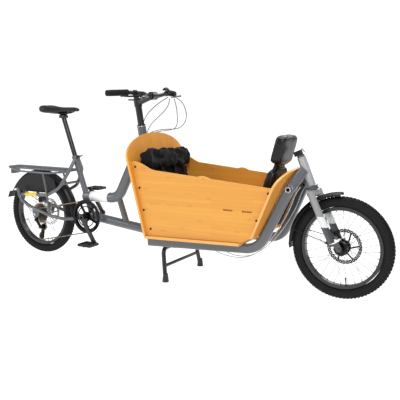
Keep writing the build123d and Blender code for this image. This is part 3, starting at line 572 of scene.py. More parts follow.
def skin(rings: Sequence[Sequence[Vector]], closed: bool = False
         ) -> Callable[[bmesh.types.BMesh], None]:
    """A filler that joins rings of points into a tube.

    Args:
        rings: loops of the same number of points.
        closed: join the last ring to the first, in place of capping both ends.

    Returns:
        The filler for mesh_from.
    """
    def fill(bm: bmesh.types.BMesh) -> None:
        """Add the tube."""
        loops = [[bm.verts.new(p) for p in ring] for ring in rings]
        pairs = list(zip(loops, loops[1:])) + ([(loops[-1], loops[0])] if closed else [])
        for a, b in pairs:
            for i in range(len(a)):
                j = (i + 1) % len(a)
                bm.faces.new((a[i], a[j], b[j], b[i]))
        if not closed:
            bm.faces.new(loops[0])
            bm.faces.new(loops[-1])
    return fill


def cuboid(bm: bmesh.types.BMesh, centre: Vector, u: Vector, v: Vector, w: Vector,
           taper: float = 1.0) -> None:
    """Add a box with half sides u, v and w; its face at +w is tapered."""
    corners = []
    for k in (-1, 1):
        t = taper if k > 0 else 1.0
        for i, j in ((-1, -1), (1, -1), (1, 1), (-1, 1)):
            corners.append(bm.verts.new(centre + u * (i * t) + v * (j * t) + w * k))
    for face in ("0123", "7654", "0451", "1562", "2673", "3740"):
        bm.faces.new([corners[int(i)] for i in face])


def smooth_line(points: Sequence[Vector], radius: float) -> bpy.types.Mesh:
    """Round cord of the given radius along a smooth line whose control points are given."""
    curve = bpy.data.curves.new("line", "CURVE")
    curve.dimensions = "3D"
    spline = curve.splines.new("NURBS")
    spline.points.add(len(points) - 1)
    for target, point in zip(spline.points, points):
        target.co = (*point, 1)
    spline.order_u = 3
    spline.use_endpoint_u = True
    spline.resolution_u = 8
    curve.bevel_depth = radius
    curve.bevel_resolution = 3
    curve.use_fill_caps = True
    holder = bpy.data.objects.new("line", curve)
    bpy.context.scene.collection.objects.link(holder)
    mesh = baked(holder)
    bpy.data.objects.remove(holder)
    mesh.shade_smooth()
    return mesh


def joined(name: str, meshes: Sequence[bpy.types.Mesh]) -> bpy.types.Mesh:
    """Several meshes as one."""
    bm = bmesh.new()
    for mesh in meshes:
        bm.from_mesh(mesh)
    made = bpy.data.meshes.new(name)
    bm.to_mesh(made)
    bm.free()
    made.shade_smooth()
    return made


# ---- repeating pieces ----------------------------------------------------------------------
class Repeat:
    """A Geometry Nodes tree that repeats one template, and the plain mesh that it makes."""

    def __init__(self, name: str, sizes: Sequence[tuple[str, str]]) -> None:
        """Start the tree.

        Args:
            name: the tree's name.
            sizes: each named input and its socket type.
        """
        self.tree = bpy.data.node_groups.new(name, "GeometryNodeTree")
        self.inputs = {}
        face = self.tree.interface
        self.inputs["Template"] = face.new_socket("Template", in_out="INPUT",
                                                  socket_type="NodeSocketObject")
        self.inputs["Finish"] = face.new_socket("Finish", in_out="INPUT",
                                                socket_type="NodeSocketMaterial")
        for label, kind in sizes:
            self.inputs[label] = face.new_socket(label, in_out="INPUT", socket_type=kind)
        face.new_socket("Geometry", in_out="OUTPUT", socket_type="NodeSocketGeometry")
        self.entry = self.tree.nodes.new("NodeGroupInput")
        self.template = self.add("GeometryNodeObjectInfo")
        self.join(self.entry.outputs["Template"], self.template.inputs["Object"])

    def add(self, kind: str) -> bpy.types.Node:
        """Add a node."""
        return self.tree.nodes.new(kind)

    def join(self, source: bpy.types.NodeSocket, target: bpy.types.NodeSocket) -> None:
        """Link two sockets."""
        self.tree.links.new(source, target)

    def close(self, points: bpy.types.NodeSocket, rotation: bpy.types.NodeSocket) -> None:
        """Put the template on the points, realise the copies and set their material."""
        spread = self.add("GeometryNodeInstanceOnPoints")
        self.join(points, spread.inputs["Points"])
        self.join(self.template.outputs["Geometry"], spread.inputs["Instance"])
        self.join(rotation, spread.inputs["Rotation"])
        real = self.add("GeometryNodeRealizeInstances")
        self.join(spread.outputs[0], real.inputs[0])
        dressed = self.add("GeometryNodeSetMaterial")
        self.join(real.outputs[0], dressed.inputs["Geometry"])
        self.join(self.entry.outputs["Finish"], dressed.inputs["Material"])
        leave = self.add("NodeGroupOutput")
        self.join(dressed.outputs[0], leave.inputs["Geometry"])

    def run(self, name: str, template: bpy.types.Mesh, finish: bpy.types.Material,
            move: Vector | None = None, **sizes: object) -> bpy.types.Object:
        """Repeat a template and keep the result as a plain mesh.

        Args:
            name: the piece's name.
            template: the mesh to repeat.
            finish: its material.
            move: how far the result moves.
            **sizes: the tree's inputs, with underscores for spaces.

        Returns:
            The finished object.
        """
        pattern = bpy.data.objects.new(f"{name}_template", template)
        bpy.context.scene.collection.objects.link(pattern)
        holder = bpy.data.objects.new(f"{name}_holder", bpy.data.meshes.new("empty"))
        bpy.context.scene.collection.objects.link(holder)
        modifier = holder.modifiers.new("repeat", "NODES")
        modifier.node_group = self.tree
        values = {"Template": pattern, "Finish": finish}
        values.update({key.replace("_", " "): value for key, value in sizes.items()})
        for label, value in values.items():
            modifier[self.inputs[label].identifier] = value
        mesh = baked(holder)
        if move:
            mesh.transform(Matrix.Translation(move))
        bpy.data.objects.remove(holder)
        bpy.data.objects.remove(pattern)
        return add_object(name, mesh, finish)


def ring_repeat() -> Repeat:
    """Copies turned about the Y axis: Count copies, the first at Phase radians."""
    made = Repeat("around_the_axle", (("Count", "NodeSocketInt"), ("Phase", "NodeSocketFloat")))
    line = made.add("GeometryNodeMeshLine")
    line.inputs["Offset"].default_value = (0, 0, 0)
    made.join(made.entry.outputs["Count"], line.inputs["Count"])
    index = made.add("GeometryNodeInputIndex")
    step = made.add("ShaderNodeMath")
    step.operation = "DIVIDE"
    step.inputs[0].default_value = math.tau
    made.join(made.entry.outputs["Count"], step.inputs[1])
    turn = made.add("ShaderNodeMath")
    turn.operation = "MULTIPLY_ADD"
    made.join(index.outputs[0], turn.inputs[0])
    made.join(step.outputs[0], turn.inputs[1])
    made.join(made.entry.outputs["Phase"], turn.inputs[2])
    angles = made.add("ShaderNodeCombineXYZ")
    made.join(turn.outputs[0], angles.inputs["Y"])
    made.close(line.outputs[0], angles.outputs[0])
    return made


def path_repeat() -> Repeat:
    """Count copies evenly spaced along a path object, with the template's +X along the path."""
    made = Repeat("along_a_path", (("Path", "NodeSocketObject"), ("Count", "NodeSocketInt")))
    path = made.add("GeometryNodeObjectInfo")
    made.join(made.entry.outputs["Path"], path.inputs["Object"])
    evenly = made.add("GeometryNodeResampleCurve")
    made.join(path.outputs["Geometry"], evenly.inputs["Curve"])
    made.join(made.entry.outputs["Count"], evenly.inputs["Count"])
    points = made.add("GeometryNodeCurveToPoints")
    points.mode = "EVALUATED"
    made.join(evenly.outputs[0], points.inputs["Curve"])
    align = made.add("FunctionNodeAlignRotationToVector")
    align.axis = "X"
    align.pivot_axis = "Y"
    made.join(points.outputs["Tangent"], align.inputs["Vector"])
    made.close(points.outputs["Points"], align.outputs[0])
    return made


def closed_path(name: str, points: Sequence[Vector]) -> bpy.types.Object:
    """A closed poly curve for a repeat to follow."""
    curve = bpy.data.curves.new(name, "CURVE")
    curve.dimensions = "3D"
    spline = curve.splines.new("POLY")
    spline.points.add(len(points) - 1)
    for target, point in zip(spline.points, points):
        target.co = (*point, 1)
    spline.use_cyclic_u = True
    made = bpy.data.objects.new(name, curve)
    bpy.context.scene.collection.objects.link(made)
    return made


# ---- wheels --------------------------------------------------------------------------------
@dataclass
class Wheel:
    """One wheel's tyre with its tread, nipples, valve and reflector."""

    name: str
    centre: Vector
    outer: float = 0.260
    section: float = 0.029
    tread: float = 0.0026
    blocks: int = 84
    spokes: int = 32

    def casing(self) -> bpy.types.Mesh:
        """Tyre body from bead to bead, with sidewall ribs."""
        mid = self.outer - self.section
        radius = self.section - self.tread
        profile = []
        for step in range(33):
            angle = math.radians(-142 + 284 * step / 32)
            rib = 0.0005 if step in (4, 28) else 0.0
            ribbed = radius + rib
            profile.append((mid + ribbed * math.cos(angle), ribbed * math.sin(angle)))
        inner = radius - 0.0032
        for step in range(17):
            angle = math.radians(142 - 284 * step / 16)
            profile.append((mid + inner * math.cos(angle), inner * math.sin(angle)))
        rings = []
        for step in range(144):
            angle = math.tau * step / 144
            rings.append([self.centre + Vector((r * math.cos(angle), y, r * math.sin(angle)))
                          for r, y in profile])
        return mesh_from(f"{self.name}_casing", skin(rings, closed=True))

    def tread_template(self) -> bpy.types.Mesh:
        """The knobs of one pitch of tread, at angle 0 from the axle."""
        mid = self.outer - self.section
        rows = ((0, 4.6, 3.4, 0.0, 0.25), (21, 3.6, 4.0, 0.5, -0.35), (-21, 3.6, 4.0, 0.0, 0.35),
                (41, 3.0, 3.4, 0.0, 0.2), (-41, 3.0, 3.4, 0.5, -0.2),
                (60, 2.0, 4.2, 0.5, 0.0), (-60, 2.0, 4.2, 0.5, 0.0))
        pitch = math.tau / self.blocks

        def fill(bm: bmesh.types.BMesh) -> None:
            """Add the knobs."""
            for degrees, wide, long, shift, skew in rows:
                a = math.radians(degrees)
                at = pitch * shift
                out = Vector((math.cos(a) * math.cos(at), math.sin(a), math.cos(a) * math.sin(at)))
                across = Vector((-math.sin(a) * math.cos(at), math.cos(a),
                                 -math.sin(a) * math.sin(at)))
                along = out.cross(across)
                place = Vector((mid * math.cos(at), 0, mid * math.sin(at)))
                middle = place + out * (self.section - self.tread * 0.5 - 0.0006)
                u = (along + across * skew) * long * MM
                v = across * wide * MM
                cuboid(bm, middle, u, v, out * (self.tread * 0.5 + 0.0006), 0.86)
        return mesh_from(f"{self.name}_tread", fill, smooth=False)

    def nipple(self) -> bpy.types.Mesh:
        """One spoke nipple at angle 0, standing out of the rim towards the hub."""
        rings = []
        for r, half in ((0.1925, 1.6), (0.1885, 1.9), (0.1870, 1.7), (0.1800, 1.55), (0.1792, 1.1)):
            rings.append([Vector((r, half * MM * math.cos(a), half * MM * math.sin(a)))
                          for a in (math.tau * k / 8 for k in range(8))])
        return mesh_from("nipple", skin(rings))

    def valve(self, degrees: float) -> bpy.types.Mesh:
        """Valve stem with its cap, pointing at the hub."""
        a = math.radians(degrees)
        out = Vector((math.cos(a), 0, math.sin(a)))
        rings = []
        for r, half in ((0.191, 5.2), (0.187, 5.2), (0.1865, 3.0), (0.166, 3.0), (0.1655, 4.0),
                        (0.153, 4.0), (0.151, 2.4)):
            rings.append([self.centre + out * r + way * half * MM
                          for way in round_table(LEFT, out.cross(LEFT), 12)])
        return mesh_from("valve", skin(rings))

    def reflector(self, degrees: float) -> bpy.types.Mesh:
        """Oval reflector held between the spokes."""
        a = math.radians(degrees)
        out = Vector((math.cos(a), 0, math.sin(a)))
        along = Vector((-math.sin(a), 0, math.cos(a)))
        rings = []
        for y, grow in ((-6, 0.86), (-5, 0.97), (0, 1.0), (5, 0.97), (6, 0.86)):
            ring = []
            for k in range(28):
                t = math.tau * k / 28
                ring.append(self.centre + out * (0.158 + 0.013 * grow * math.sin(t))
                            + along * (0.036 * grow * squared(math.cos(t), 0.7))
                            + Vector((0, y * MM, 0)))
            rings.append(ring)
        return mesh_from("reflector", skin(rings))

    def build(self, finish: Finishes, body: str, valve_at: float, reflector_at: float,
              around: Repeat) -> None:
        """Make and place every piece.

        Args:
            finish: the materials.
            body: the wheel's body.
            valve_at: the valve's angle in degrees.
            reflector_at: the reflector's angle in degrees.
            around: the tree that repeats about an axle.
        """
        casing = add_object(f"{self.name}_tyre_casing", self.casing(), finish.tyre)
        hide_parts(f"{self.name}_tyre")
        knobs = around.run(f"{self.name}_tyre_tread", self.tread_template(), finish.tyre,
                           move=self.centre, Count=self.blocks, Phase=0.0)
        nipples = around.run(f"{self.name}_nipples", self.nipple(), finish.spoke,
                             move=self.centre, Count=self.spokes, Phase=0.0)
        valve = add_object(f"{self.name}_valve", self.valve(valve_at), finish.black_paint)
        reflector = add_object(f"{self.name}_reflector", self.reflector(reflector_at), finish.clear)
        for piece, slot in ((casing, "tyre"), (knobs, "tyre"), (nipples, "steel"),
                            (valve, "black_plastic"), (reflector, "black_plastic")):
            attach(piece, body)
        log.info("%s wheel: casing, tread, nipples, valve, reflector", self.name)


# ---- chain ---------------------------------------------------------------------------------
@dataclass
class Chain:
    """Roller chain around the ring, the two pulleys and one sprocket (millimetres)."""

    datum: Datum
    pitch: float = 12.7
    plane_y: float = -52.0
    ring: tuple[float, float, int] = (CRANK_X, CRANK_Z, 48)
    sprocket: tuple[float, float, int] = (0, AXLE_Z, 15)
    guide: tuple[float, float] = (48.0, 182.0)
    tension: tuple[float, float] = (32.0, 116.0)
    pulley_r: float = 22.5

    def pitch_radius(self, teeth: int) -> float:
        """Radius of the roller centres."""
        return self.pitch / (2 * math.sin(math.pi / teeth))

    @staticmethod
    def run_between(a: tuple, b: tuple) -> tuple[tuple[float, float], tuple[float, float]]:
        """Ends of the straight run between two wraps given as (x, z, radius, turn)."""
        dx, dz = b[0] - a[0], b[1] - a[1]
        lean = math.asin((b[3] * b[2] - a[3] * a[2]) / math.hypot(dx, dz))
        turn = math.atan2(dz, dx) - lean
        return tuple((w[0] + w[3] * w[2] * math.sin(turn), w[1] - w[3] * w[2] * math.cos(turn))
                     for w in (a, b))

    def path(self) -> list[Vector]:
        """Points of the closed line of roller centres."""
        wraps = ((*self.ring[:2], self.pitch_radius(self.ring[2]), -1),
                 (*self.tension, self.pulley_r, -1), (*self.guide, self.pulley_r, 1),
                 (*self.sprocket[:2], self.pitch_radius(self.sprocket[2]), -1))
        runs = [self.run_between(a, b) for a, b in zip(wraps, wraps[1:] + wraps[:1])]
        line = []
        for i, (x, z, radius, sense) in enumerate(wraps):
            start, end = runs[i - 1][1], runs[i][0]
            a0 = math.atan2(start[1] - z, start[0] - x)
            a1 = math.atan2(end[1] - z, end[0] - x)
            arc = (a1 - a0) % math.tau if sense > 0 else -((a0 - a1) % math.tau)
            steps = max(6, int(abs(arc) * radius / 4))
            line += [self.datum.at(x + radius * math.cos(a0 + arc * k / steps), self.plane_y,
                                   z + radius * math.sin(a0 + arc * k / steps))
                     for k in range(steps + 1)]
        return line

    def link(self, outer: bool) -> bpy.types.Mesh:
        """Two side plates and a roller; outer plates stand further apart."""
        half = self.pitch / 2
        offsets = (2.3, 3.3) if outer else (1.4, 2.25)

        def outline(y: float) -> list[Vector]:
            """Waisted plate outline at one depth."""
            loop = []
            for k in range(24):
                t = math.tau * k / 24
                x = math.copysign(half, math.cos(t)) * min(1.0, abs(math.cos(t)) * 1.6)
                z = 4.0 * math.sin(t) * (0.78 + 0.22 * min(1, abs(math.cos(t)) * 1.4))
                loop.append(Vector(((x + 3.4 * math.cos(t)) * MM, y * MM, z * MM)))
            return loop

        def fill(bm: bmesh.types.BMesh) -> None:
            """Add the plates and the pin."""
            for side in (-1, 1):
                skin([outline(side * offsets[0]), outline(side * offsets[1])])(bm)
            reach = 4.2 if outer else 1.35
            size = 1.9 if outer else 3.8
            for end in (-half, half):
                rings = [[Vector(((end + size * math.cos(t)) * MM, y * MM, size * math.sin(t) * MM))
                          for t in (math.tau * k / 10 for k in range(10))] for y in (-reach, reach)]
                skin(rings)(bm)
        return mesh_from("link", fill)

    def build(self, finish: Finishes, along: Repeat) -> None:
        """Make the chain as alternate outer and inner links."""
        line = self.path()
        length = sum((b - a).length for a, b in zip(line, line[1:] + line[:1]))
        pairs = round(length / (2 * self.pitch * MM))
        for name, outer in (("outer", True), ("inner", False)):
            points = line if outer else self.advanced(line, length / (2 * pairs))
            path = closed_path(f"chain_{name}_path", points)
            made = along.run(f"chain_{name}_links", self.link(outer), finish.chain_steel,
                             Path=path, Count=pairs)
            bpy.data.objects.remove(path)
            if outer:
                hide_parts("chain")
            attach(made, "frame")
        log.info("chain: %d links of %.2f mm", 2 * pairs, length / pairs / 2 / MM)

    @staticmethod
    def advanced(line: list[Vector], distance: float) -> list[Vector]:
        """The same closed line, started a distance further on."""
        points = list(line)
        left = distance
        while left > (points[1] - points[0]).length:
            left -= (points[1] - points[0]).length
            points = points[1:] + points[:1]
        run = points[1] - points[0]
        first = points[0] + run * (left / run.length)
        return [first] + points[1:] + [points[0]]


# ---- soft goods ----------------------------------------------------------------------------
def crumple(mesh: bpy.types.Mesh, depth: float, scale: float, seed: float) -> None:
    """Push a mesh's points along their normals by folds of a fixed pattern.

    Args:
        mesh: the mesh to change.
        depth: the greatest push in metres.
        scale: folds for each metre.
        seed: offset of the pattern.
    """
    normals = [v.normal.copy() for v in mesh.vertices]
    for vertex, normal in zip(mesh.vertices, normals):
        at = vertex.co * scale + Vector((seed, seed * 0.7, -seed))
        warp = Vector((noise.noise(at * 0.6), noise.noise(at * 0.6 + Vector((7, 3, 1))), 0)) * 1.6
        fold = 1 - abs(noise.noise(at + warp)) * 2.4
        fine = 1 - abs(noise.noise(at * 2.3 + warp)) * 2.4
        vertex.co += normal * depth * (0.8 * max(fold, -1) + 0.2 * max(fine, -1) - 0.55)


CLOTH_FRAMES = 20


@dataclass
class Pad:
    """A stuffed pad from a rounded block in a tilted plane."""

    name: str
    centre: Vector
    wide: Vector
    tall: Vector
    thick: Vector
    corner: float
    around: int = 70        # points round the outline
    shells: int = 7         # outlines through the thickness
    flat: float = 0.86      # where the sides end and the crown begins, in half thicknesses

    def shape(self) -> bpy.types.Mesh:
        """Rounded block with crowned faces and pulled-in sides."""
        rings = []
        for k in range(self.shells):
            depth = -1 + 2 * k / (self.shells - 1)
            pull = 1 - 0.035 * (1 - depth * depth) - 0.10 * max(0.0, abs(depth) - 0.55) / 0.45
            rings.append([self.edge_point(math.tau * i / self.around, pull)
                          + self.thick * depth * self.flat for i in range(self.around)])

        def fill(bm: bmesh.types.BMesh) -> None:
            """Add the sides and the two crowned faces."""
            loops = [[bm.verts.new(p) for p in ring] for ring in rings]
            for a, b in zip(loops, loops[1:]):
                for i in range(len(a)):
                    j = (i + 1) % len(a)
                    bm.faces.new((a[i], a[j], b[j], b[i]))
            for loop, sign in ((loops[0], -1), (loops[-1], 1)):
                previous = loop
                for inset in (0.9, 0.78, 0.62, 0.45, 0.28, 0.12):
                    ring = []
                    for vertex in loop:
                        local = vertex.co - self.centre - self.thick * sign * self.flat
                        lift = (1 - self.flat) * (1 - inset ** 3)
                        ring.append(bm.verts.new(self.centre + local * inset
                                                 + self.thick * sign * (self.flat + lift)))
                    for i in range(len(ring)):
                        j = (i + 1) % len(ring)
                        bm.faces.new((previous[i], previous[j], ring[j], ring[i]))
                    previous = ring
                bm.faces.new(previous)
        return mesh_from(self.name, fill)

    def edge_point(self, angle: float, size: float) -> Vector:
        """Point of the rounded outline."""
        power = 0.28 + self.corner * 0.5
        c, s = math.cos(angle), math.sin(angle)
        return (self.centre + self.wide * squared(c, power) * size
                + self.tall * squared(s, power) * size)

    def inflate(self, made: bpy.types.Object, pressure: float, cap: float, voxel: float) -> None:
        """Swell the pad by cloth simulation, with every point's travel capped.

        Args:
            made: the pad's object.
            pressure: the air pressure.
            cap: the furthest that a point may move, in metres.
            voxel: the remesh size in metres.
        """
        remesh = made.modifiers.new("remesh", "REMESH")
        remesh.mode = "VOXEL"
        remesh.voxel_size = voxel
        base = baked(made)
        made.modifiers.clear()
        finish = made.data.materials[0]
        made.data = base
        base.materials.clear()
        base.materials.append(finish)
        start = [v.co.copy() for v in base.vertices]
        cloth = made.modifiers.new("cloth", "CLOTH")
        cloth.settings.use_pressure = True
        cloth.settings.uniform_pressure_force = pressure
        cloth.settings.quality = 5
        cloth.settings.effector_weights.gravity = 0
        cloth.settings.tension_stiffness = 12
        cloth.settings.bending_stiffness = 0.4
        scene = bpy.context.scene
        for frame in range(1, CLOTH_FRAMES + 1):
            scene.frame_set(frame)
        graph = bpy.context.evaluated_depsgraph_get()
        swollen = made.evaluated_get(graph).data
        moved = [v.co.copy() for v in swollen.vertices]
        made.modifiers.clear()
        scene.frame_set(1)
        for vertex, a, b in zip(base.vertices, start, moved):
            step = b - a
            if step.length > cap:
                step *= cap / step.length
            vertex.co = a + step
        base.update()


@dataclass
class Seating:
    """Bench back, bench cushion, harness straps and the front backrest."""

    datum: Datum
    lean: float = 0.22
    front_lean: float = 0.27

    def plane(self, x: float, z: float, lean: float) -> tuple[Vector, Vector, Vector]:
        """A point, the up direction and the forward normal of a leaning panel."""
        up = Vector((-lean, 0, 1)).normalized()
        return self.datum.at(x, 0, z), up, Vector((up.z, 0, -up.x))

    def back_board(self) -> tuple[Vector, Vector, Vector]:
        """The plane of the board behind the bench."""
        return self.plane(985, 255, self.lean)

    def soft_pad(self, pad: Pad, cover: bpy.types.Material, node: str | None,
                 fold: tuple[float, float, float]) -> None:
        """Make one stuffed pad of the bench.

        Args:
            pad: its shape.
            cover: its cloth.
            node: the frame node that it replaces.
            fold: depth, scale and seed of its creases.
        """
        made = add_object(pad.name, pad.shape(), cover)
        pad.inflate(made, pressure=4.0, cap=0.008, voxel=0.006)
        made.data.update()
        crumple(made.data, *fold)
        subdivide(made, 1)
        made.data.shade_smooth()
        if node:
            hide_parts(node)
        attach(made, "frame")
        log.info("pad %s: %d points", pad.name, len(made.data.vertices))

    def bench(self, finish: Finishes) -> None:
        """The crumpled black bench back and cushion."""
        origin, up, forward = self.back_board()
        back = Pad("bench_back_pad", origin + up * 0.322 + forward * 0.027, LEFT * 0.225,
                   up * 0.118, forward * 0.021, corner=0.45)
        self.soft_pad(back, finish.cloth, "bench_back", (0.013, 8, 2.1))
        low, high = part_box("bench_cushion")
        middle = (low + high) / 2
        seat = Pad("bench_seat_pad", middle + Vector((0.006, 0, -0.002)), LEFT * 0.218,
                   AHEAD * 0.080, UP * 0.024, corner=0.4)
        self.soft_pad(seat, finish.cloth, "bench_cushion", (0.012, 8, 5.3))
        for i, side in enumerate((-0.134, 0.0, 0.134)):
            roll = Pad(f"folded_cover_{i + 1}",
                       origin + up * (0.412 - 0.006 * i) + forward * 0.060 + LEFT * side,
                       LEFT * 0.092, up * 0.052, forward * 0.026, corner=0.6)
            self.soft_pad(roll, finish.cloth, None, (0.020, 9.5, 8.0 + i))

    def harness(self, finish: Finishes) -> None:
        """Four straps over the bench, two on each side, with a slider on each."""
        origin, up, forward = self.back_board()
        for side, name in ((-1, "right"), (1, "left")):
            for k, offset in enumerate((0.060, 0.155)):
                line = [origin + up * a + forward * b + Vector((0, side * (offset + c), 0))
                        for a, b, c in ((0.435, 0.056, 0), (0.390, 0.066, 0.002),
                                        (0.320, 0.063, 0.006), (0.262, 0.075, 0.008),
                                        (0.245, 0.120, 0.006), (0.250, 0.175, -0.004))]
                strap = add_object(f"harness_strap_{name}_{k + 1}",
                                   self.ribbon(line, Vector((0, 0.0125, 0)), 0.0014),
                                   finish.webbing)
                slider = add_object(f"harness_slider_{name}_{k + 1}",
                                    self.buckle(line[2], line[1] - line[2]), finish.plastic)
                for piece, slot in ((strap, "fabric"), (slider, "black_plastic")):
                    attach(piece, "frame")

    @staticmethod
    def ribbon(line: Sequence[Vector], half: Vector, thick: float) -> bpy.types.Mesh:
        """Flat webbing along a line, rounded by a spline through subdivision.

        Args:
            line: the points that it follows.
            half: half its width.
            thick: its thickness.

        Returns:
            The mesh.
        """
        fine = []
        for a, b, c in zip(line, line[1:], line[2:]):
            first, last = (a + b) / 2, (b + c) / 2
            fine += [first * (1 - t) ** 2 + b * (2 * t * (1 - t)) + last * t * t
                     for t in (k / 6 for k in range(6))]
        fine = [line[0]] + fine + [line[-1]]
        rings = []
        for i, point in enumerate(fine):
            run = (fine[min(i + 1, len(fine) - 1)] - fine[max(i - 1, 0)]).normalized()
            out = run.cross(half).normalized() * thick / 2
            rings.append([point - half - out, point + half - out, point + half + out,
                          point - half + out])
        return mesh_from("ribbon", skin(rings), smooth=False)

    @staticmethod
    def buckle(centre: Vector, along: Vector) -> bpy.types.Mesh:
        """Ladder-lock slider round a strap."""
        up, side = along.normalized(), LEFT
        out = up.cross(side).normalized()
        if out.x < 0:
            out = -out

        def fill(bm: bmesh.types.BMesh) -> None:
            """Add the frame's bars."""
            for k in (-1, 0, 1):
                cuboid(bm, centre + up * k * 0.012 + out * 0.003, side * 0.017, up * 0.0022,
                       out * 0.0026, 0.8)
            for k in (-1, 1):
                cuboid(bm, centre + side * k * 0.0165 + out * 0.003, side * 0.0024, up * 0.0145,
                       out * 0.0028, 0.8)
        return mesh_from("slider", fill, smooth=False)

    def backrest(self, finish: Finishes) -> None:
        """Vinyl backrest on the front board: long pad, neck and head pad."""
        origin, up, forward = self.plane(1516, 285, -self.front_lean)
        pieces = []
        for name, rise, out, wide, tall, thick, corner in (
                ("backrest_long_pad", 0.197, 0.029, 0.110, 0.184, 0.026, 0.1),
                ("backrest_head_pad", 0.476, 0.029, 0.100, 0.077, 0.030, 0.12)):
            pad = Pad(name, origin + up * rise + forward * out, LEFT * wide, up * tall,
                      forward * thick, corner=corner)
            made = add_object(name, pad.shape(), finish.vinyl)
            pad.inflate(made, pressure=2.0, cap=0.0012, voxel=0.005)
            crumple(made.data, 0.0008, 9, 3.3 + rise)
            subdivide(made, 1)
            made.data.shade_smooth()
            pieces.append(made)
            seam = [origin + up * (rise + tall * self.boxy(math.sin(t)))
                    + LEFT * wide * self.boxy(math.cos(t)) + forward * (out + thick * 0.55)
                    for t in (math.tau * k / 40 for k in range(41))]
            piping = add_object(f"{name}_piping", smooth_line(seam, 0.0022), finish.vinyl)
            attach(piping, "frame")
        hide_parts("front_backrest")
        neck = add_object("backrest_neck", self.neck_mesh(origin, up, forward), finish.plastic)
        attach(neck, "frame")
        for made in pieces:
            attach(made, "frame")
        log.info("front backrest: two pads, their piping and the neck")

    @staticmethod
    def boxy(value: float) -> float:
        """A sine or cosine pushed outwards, for a seam with tight corners."""
        return value * (abs(value) ** -0.45 if abs(value) > 0.05 else 1)

    @staticmethod
    def neck_mesh(origin: Vector, up: Vector, out: Vector) -> bpy.types.Mesh:
        """Stiff plate with a waist that joins the two pads."""
        rings = []
        for rise, half in ((0.33, 0.072), (0.365, 0.074), (0.385, 0.060), (0.400, 0.058),
                           (0.415, 0.068), (0.440, 0.074)):
            centre = origin + up * rise + out * 0.028
            ring = []
            for k in range(20):
                t = math.tau * k / 20
                ring.append(centre + LEFT * half * squared(math.cos(t), 0.5)
                            + out * 0.014 * squared(math.sin(t), 0.7))
            rings.append(ring)
        return mesh_from("neck", skin(rings))


# ---- saddle and grips ----------------------------------------------------------------------
@dataclass
class Contact:
    """The saddle and the grips, where the rider sits and holds (millimetres)."""

    datum: Datum

    def saddle(self, finish: Finishes) -> None:
        """Sculpted saddle shell: broad tail, long nose and a shallow channel."""
        stations = (  # x, half width, top, side depth
            (44, 40, 946, 30), (52, 60, 951, 42), (76, 70, 952, 50), (108, 66, 949, 48),
            (140, 54, 943, 42), (176, 38, 940, 36), (214, 28, 940, 32), (256, 23, 941, 29),
            (292, 20, 940, 26), (314, 16, 935, 21), (324, 9, 929, 12))
        rings = []
        for x, half, top, deep in stations:
            ring = []
            for k in range(28):
                t = math.tau * k / 28
                c, s = math.cos(t), math.sin(t)
                y = half * squared(c, 0.75)
                if s >= 0:
                    dip = 3.5 * math.exp(-(y / 9) ** 2) if x < 280 else 0
                    z = top - deep * (1 - s ** 0.6) * 0.55 - dip
                else:
                    z = top - deep * 0.55 - deep * 0.45 * abs(s) ** 0.5
                ring.append(self.datum.at(x, y, z))
            rings.append(ring)
        mesh = mesh_from("saddle_shell", skin(rings))
        shell = add_object("saddle_cover", mesh, finish.saddle)
        subdivide(shell, 2)
        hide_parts("saddle")
        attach(shell, "seat")
        rails = []
        for side in (-1, 1):
            rails.append(smooth_line([self.datum.at(x, side * y, z) for x, y, z in (
                (76, 36, 922), (96, 35, 908), (130, 28, 903), (165, 22, 902), (215, 22, 902),
                (255, 18, 904), (292, 12, 920))], 3.5 * MM))
        made = add_object("saddle_rails", joined("saddle_rails", rails), finish.black_alloy)
        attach(made, "seat")

        def fill(bm: bmesh.types.BMesh) -> None:
            """Add the cradle under the rails, the plate over them and two bolt heads."""
            ahead, left, up = AHEAD * MM, LEFT * MM, UP * MM
            cuboid(bm, self.datum.at(200, 0, 893), ahead * 19, left * 15, up * 7, 0.8)
            cuboid(bm, self.datum.at(200, 0, 900), ahead * 20, left * 27, up * 4, 0.8)
            cuboid(bm, self.datum.at(200, 0, 908), ahead * 17, left * 27, up * 2.5, 0.8)
            for lengthwise in (-13, 13):
                cuboid(bm, self.datum.at(200 + lengthwise, 0, 901), ahead * 3.5, left * 3.5,
                       up * 12, 0.8)
        clamp = add_object("saddle_clamp", mesh_from("saddle_clamp", fill, smooth=False),
                           finish.black_alloy)
        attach(clamp, "seat")
        log.info("saddle: cover, rails and clamp")

    def grips(self, finish: Finishes) -> None:
        """Ribs along both rubber grips and a clamp collar at each inner end."""
        for side, name in ((-1, "right"), (1, "left")):
            inner = self.datum.at(846, side * 205, 1025)
            outer = self.datum.at(802, side * 330, 1021)
            run = (outer - inner).normalized()
            square = run.cross(UP).normalized()
            other = run.cross(square)

            def rib(at: Vector, radius: float, half: float) -> list[list[Vector]]:
                """Rings of one raised band."""
                return [[at + run * (d * MM) + way * r * MM
                         for way in round_table(square, other, 24)]
                        for d, r in ((-half, radius - 0.9), (-half * 0.5, radius),
                                     (half * 0.5, radius), (half, radius - 0.9))]
            meshes = [mesh_from("rib", skin(rib(inner + run * ((16 + 5.2 * k) * MM), 16.9, 1.7)))
                      for k in range(20)]
            ribs = add_object(f"grip_ribs_{name}", joined("ribs", meshes), finish.rubber)
            collar = add_object(f"grip_collar_{name}", mesh_from(
                "collar", skin(rib(inner + run * 0.008, 17.4, 4.5))), finish.black_alloy)
            for piece, slot in ((ribs, "rubber"), (collar, "dark_alloy")):
                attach(piece, "column")


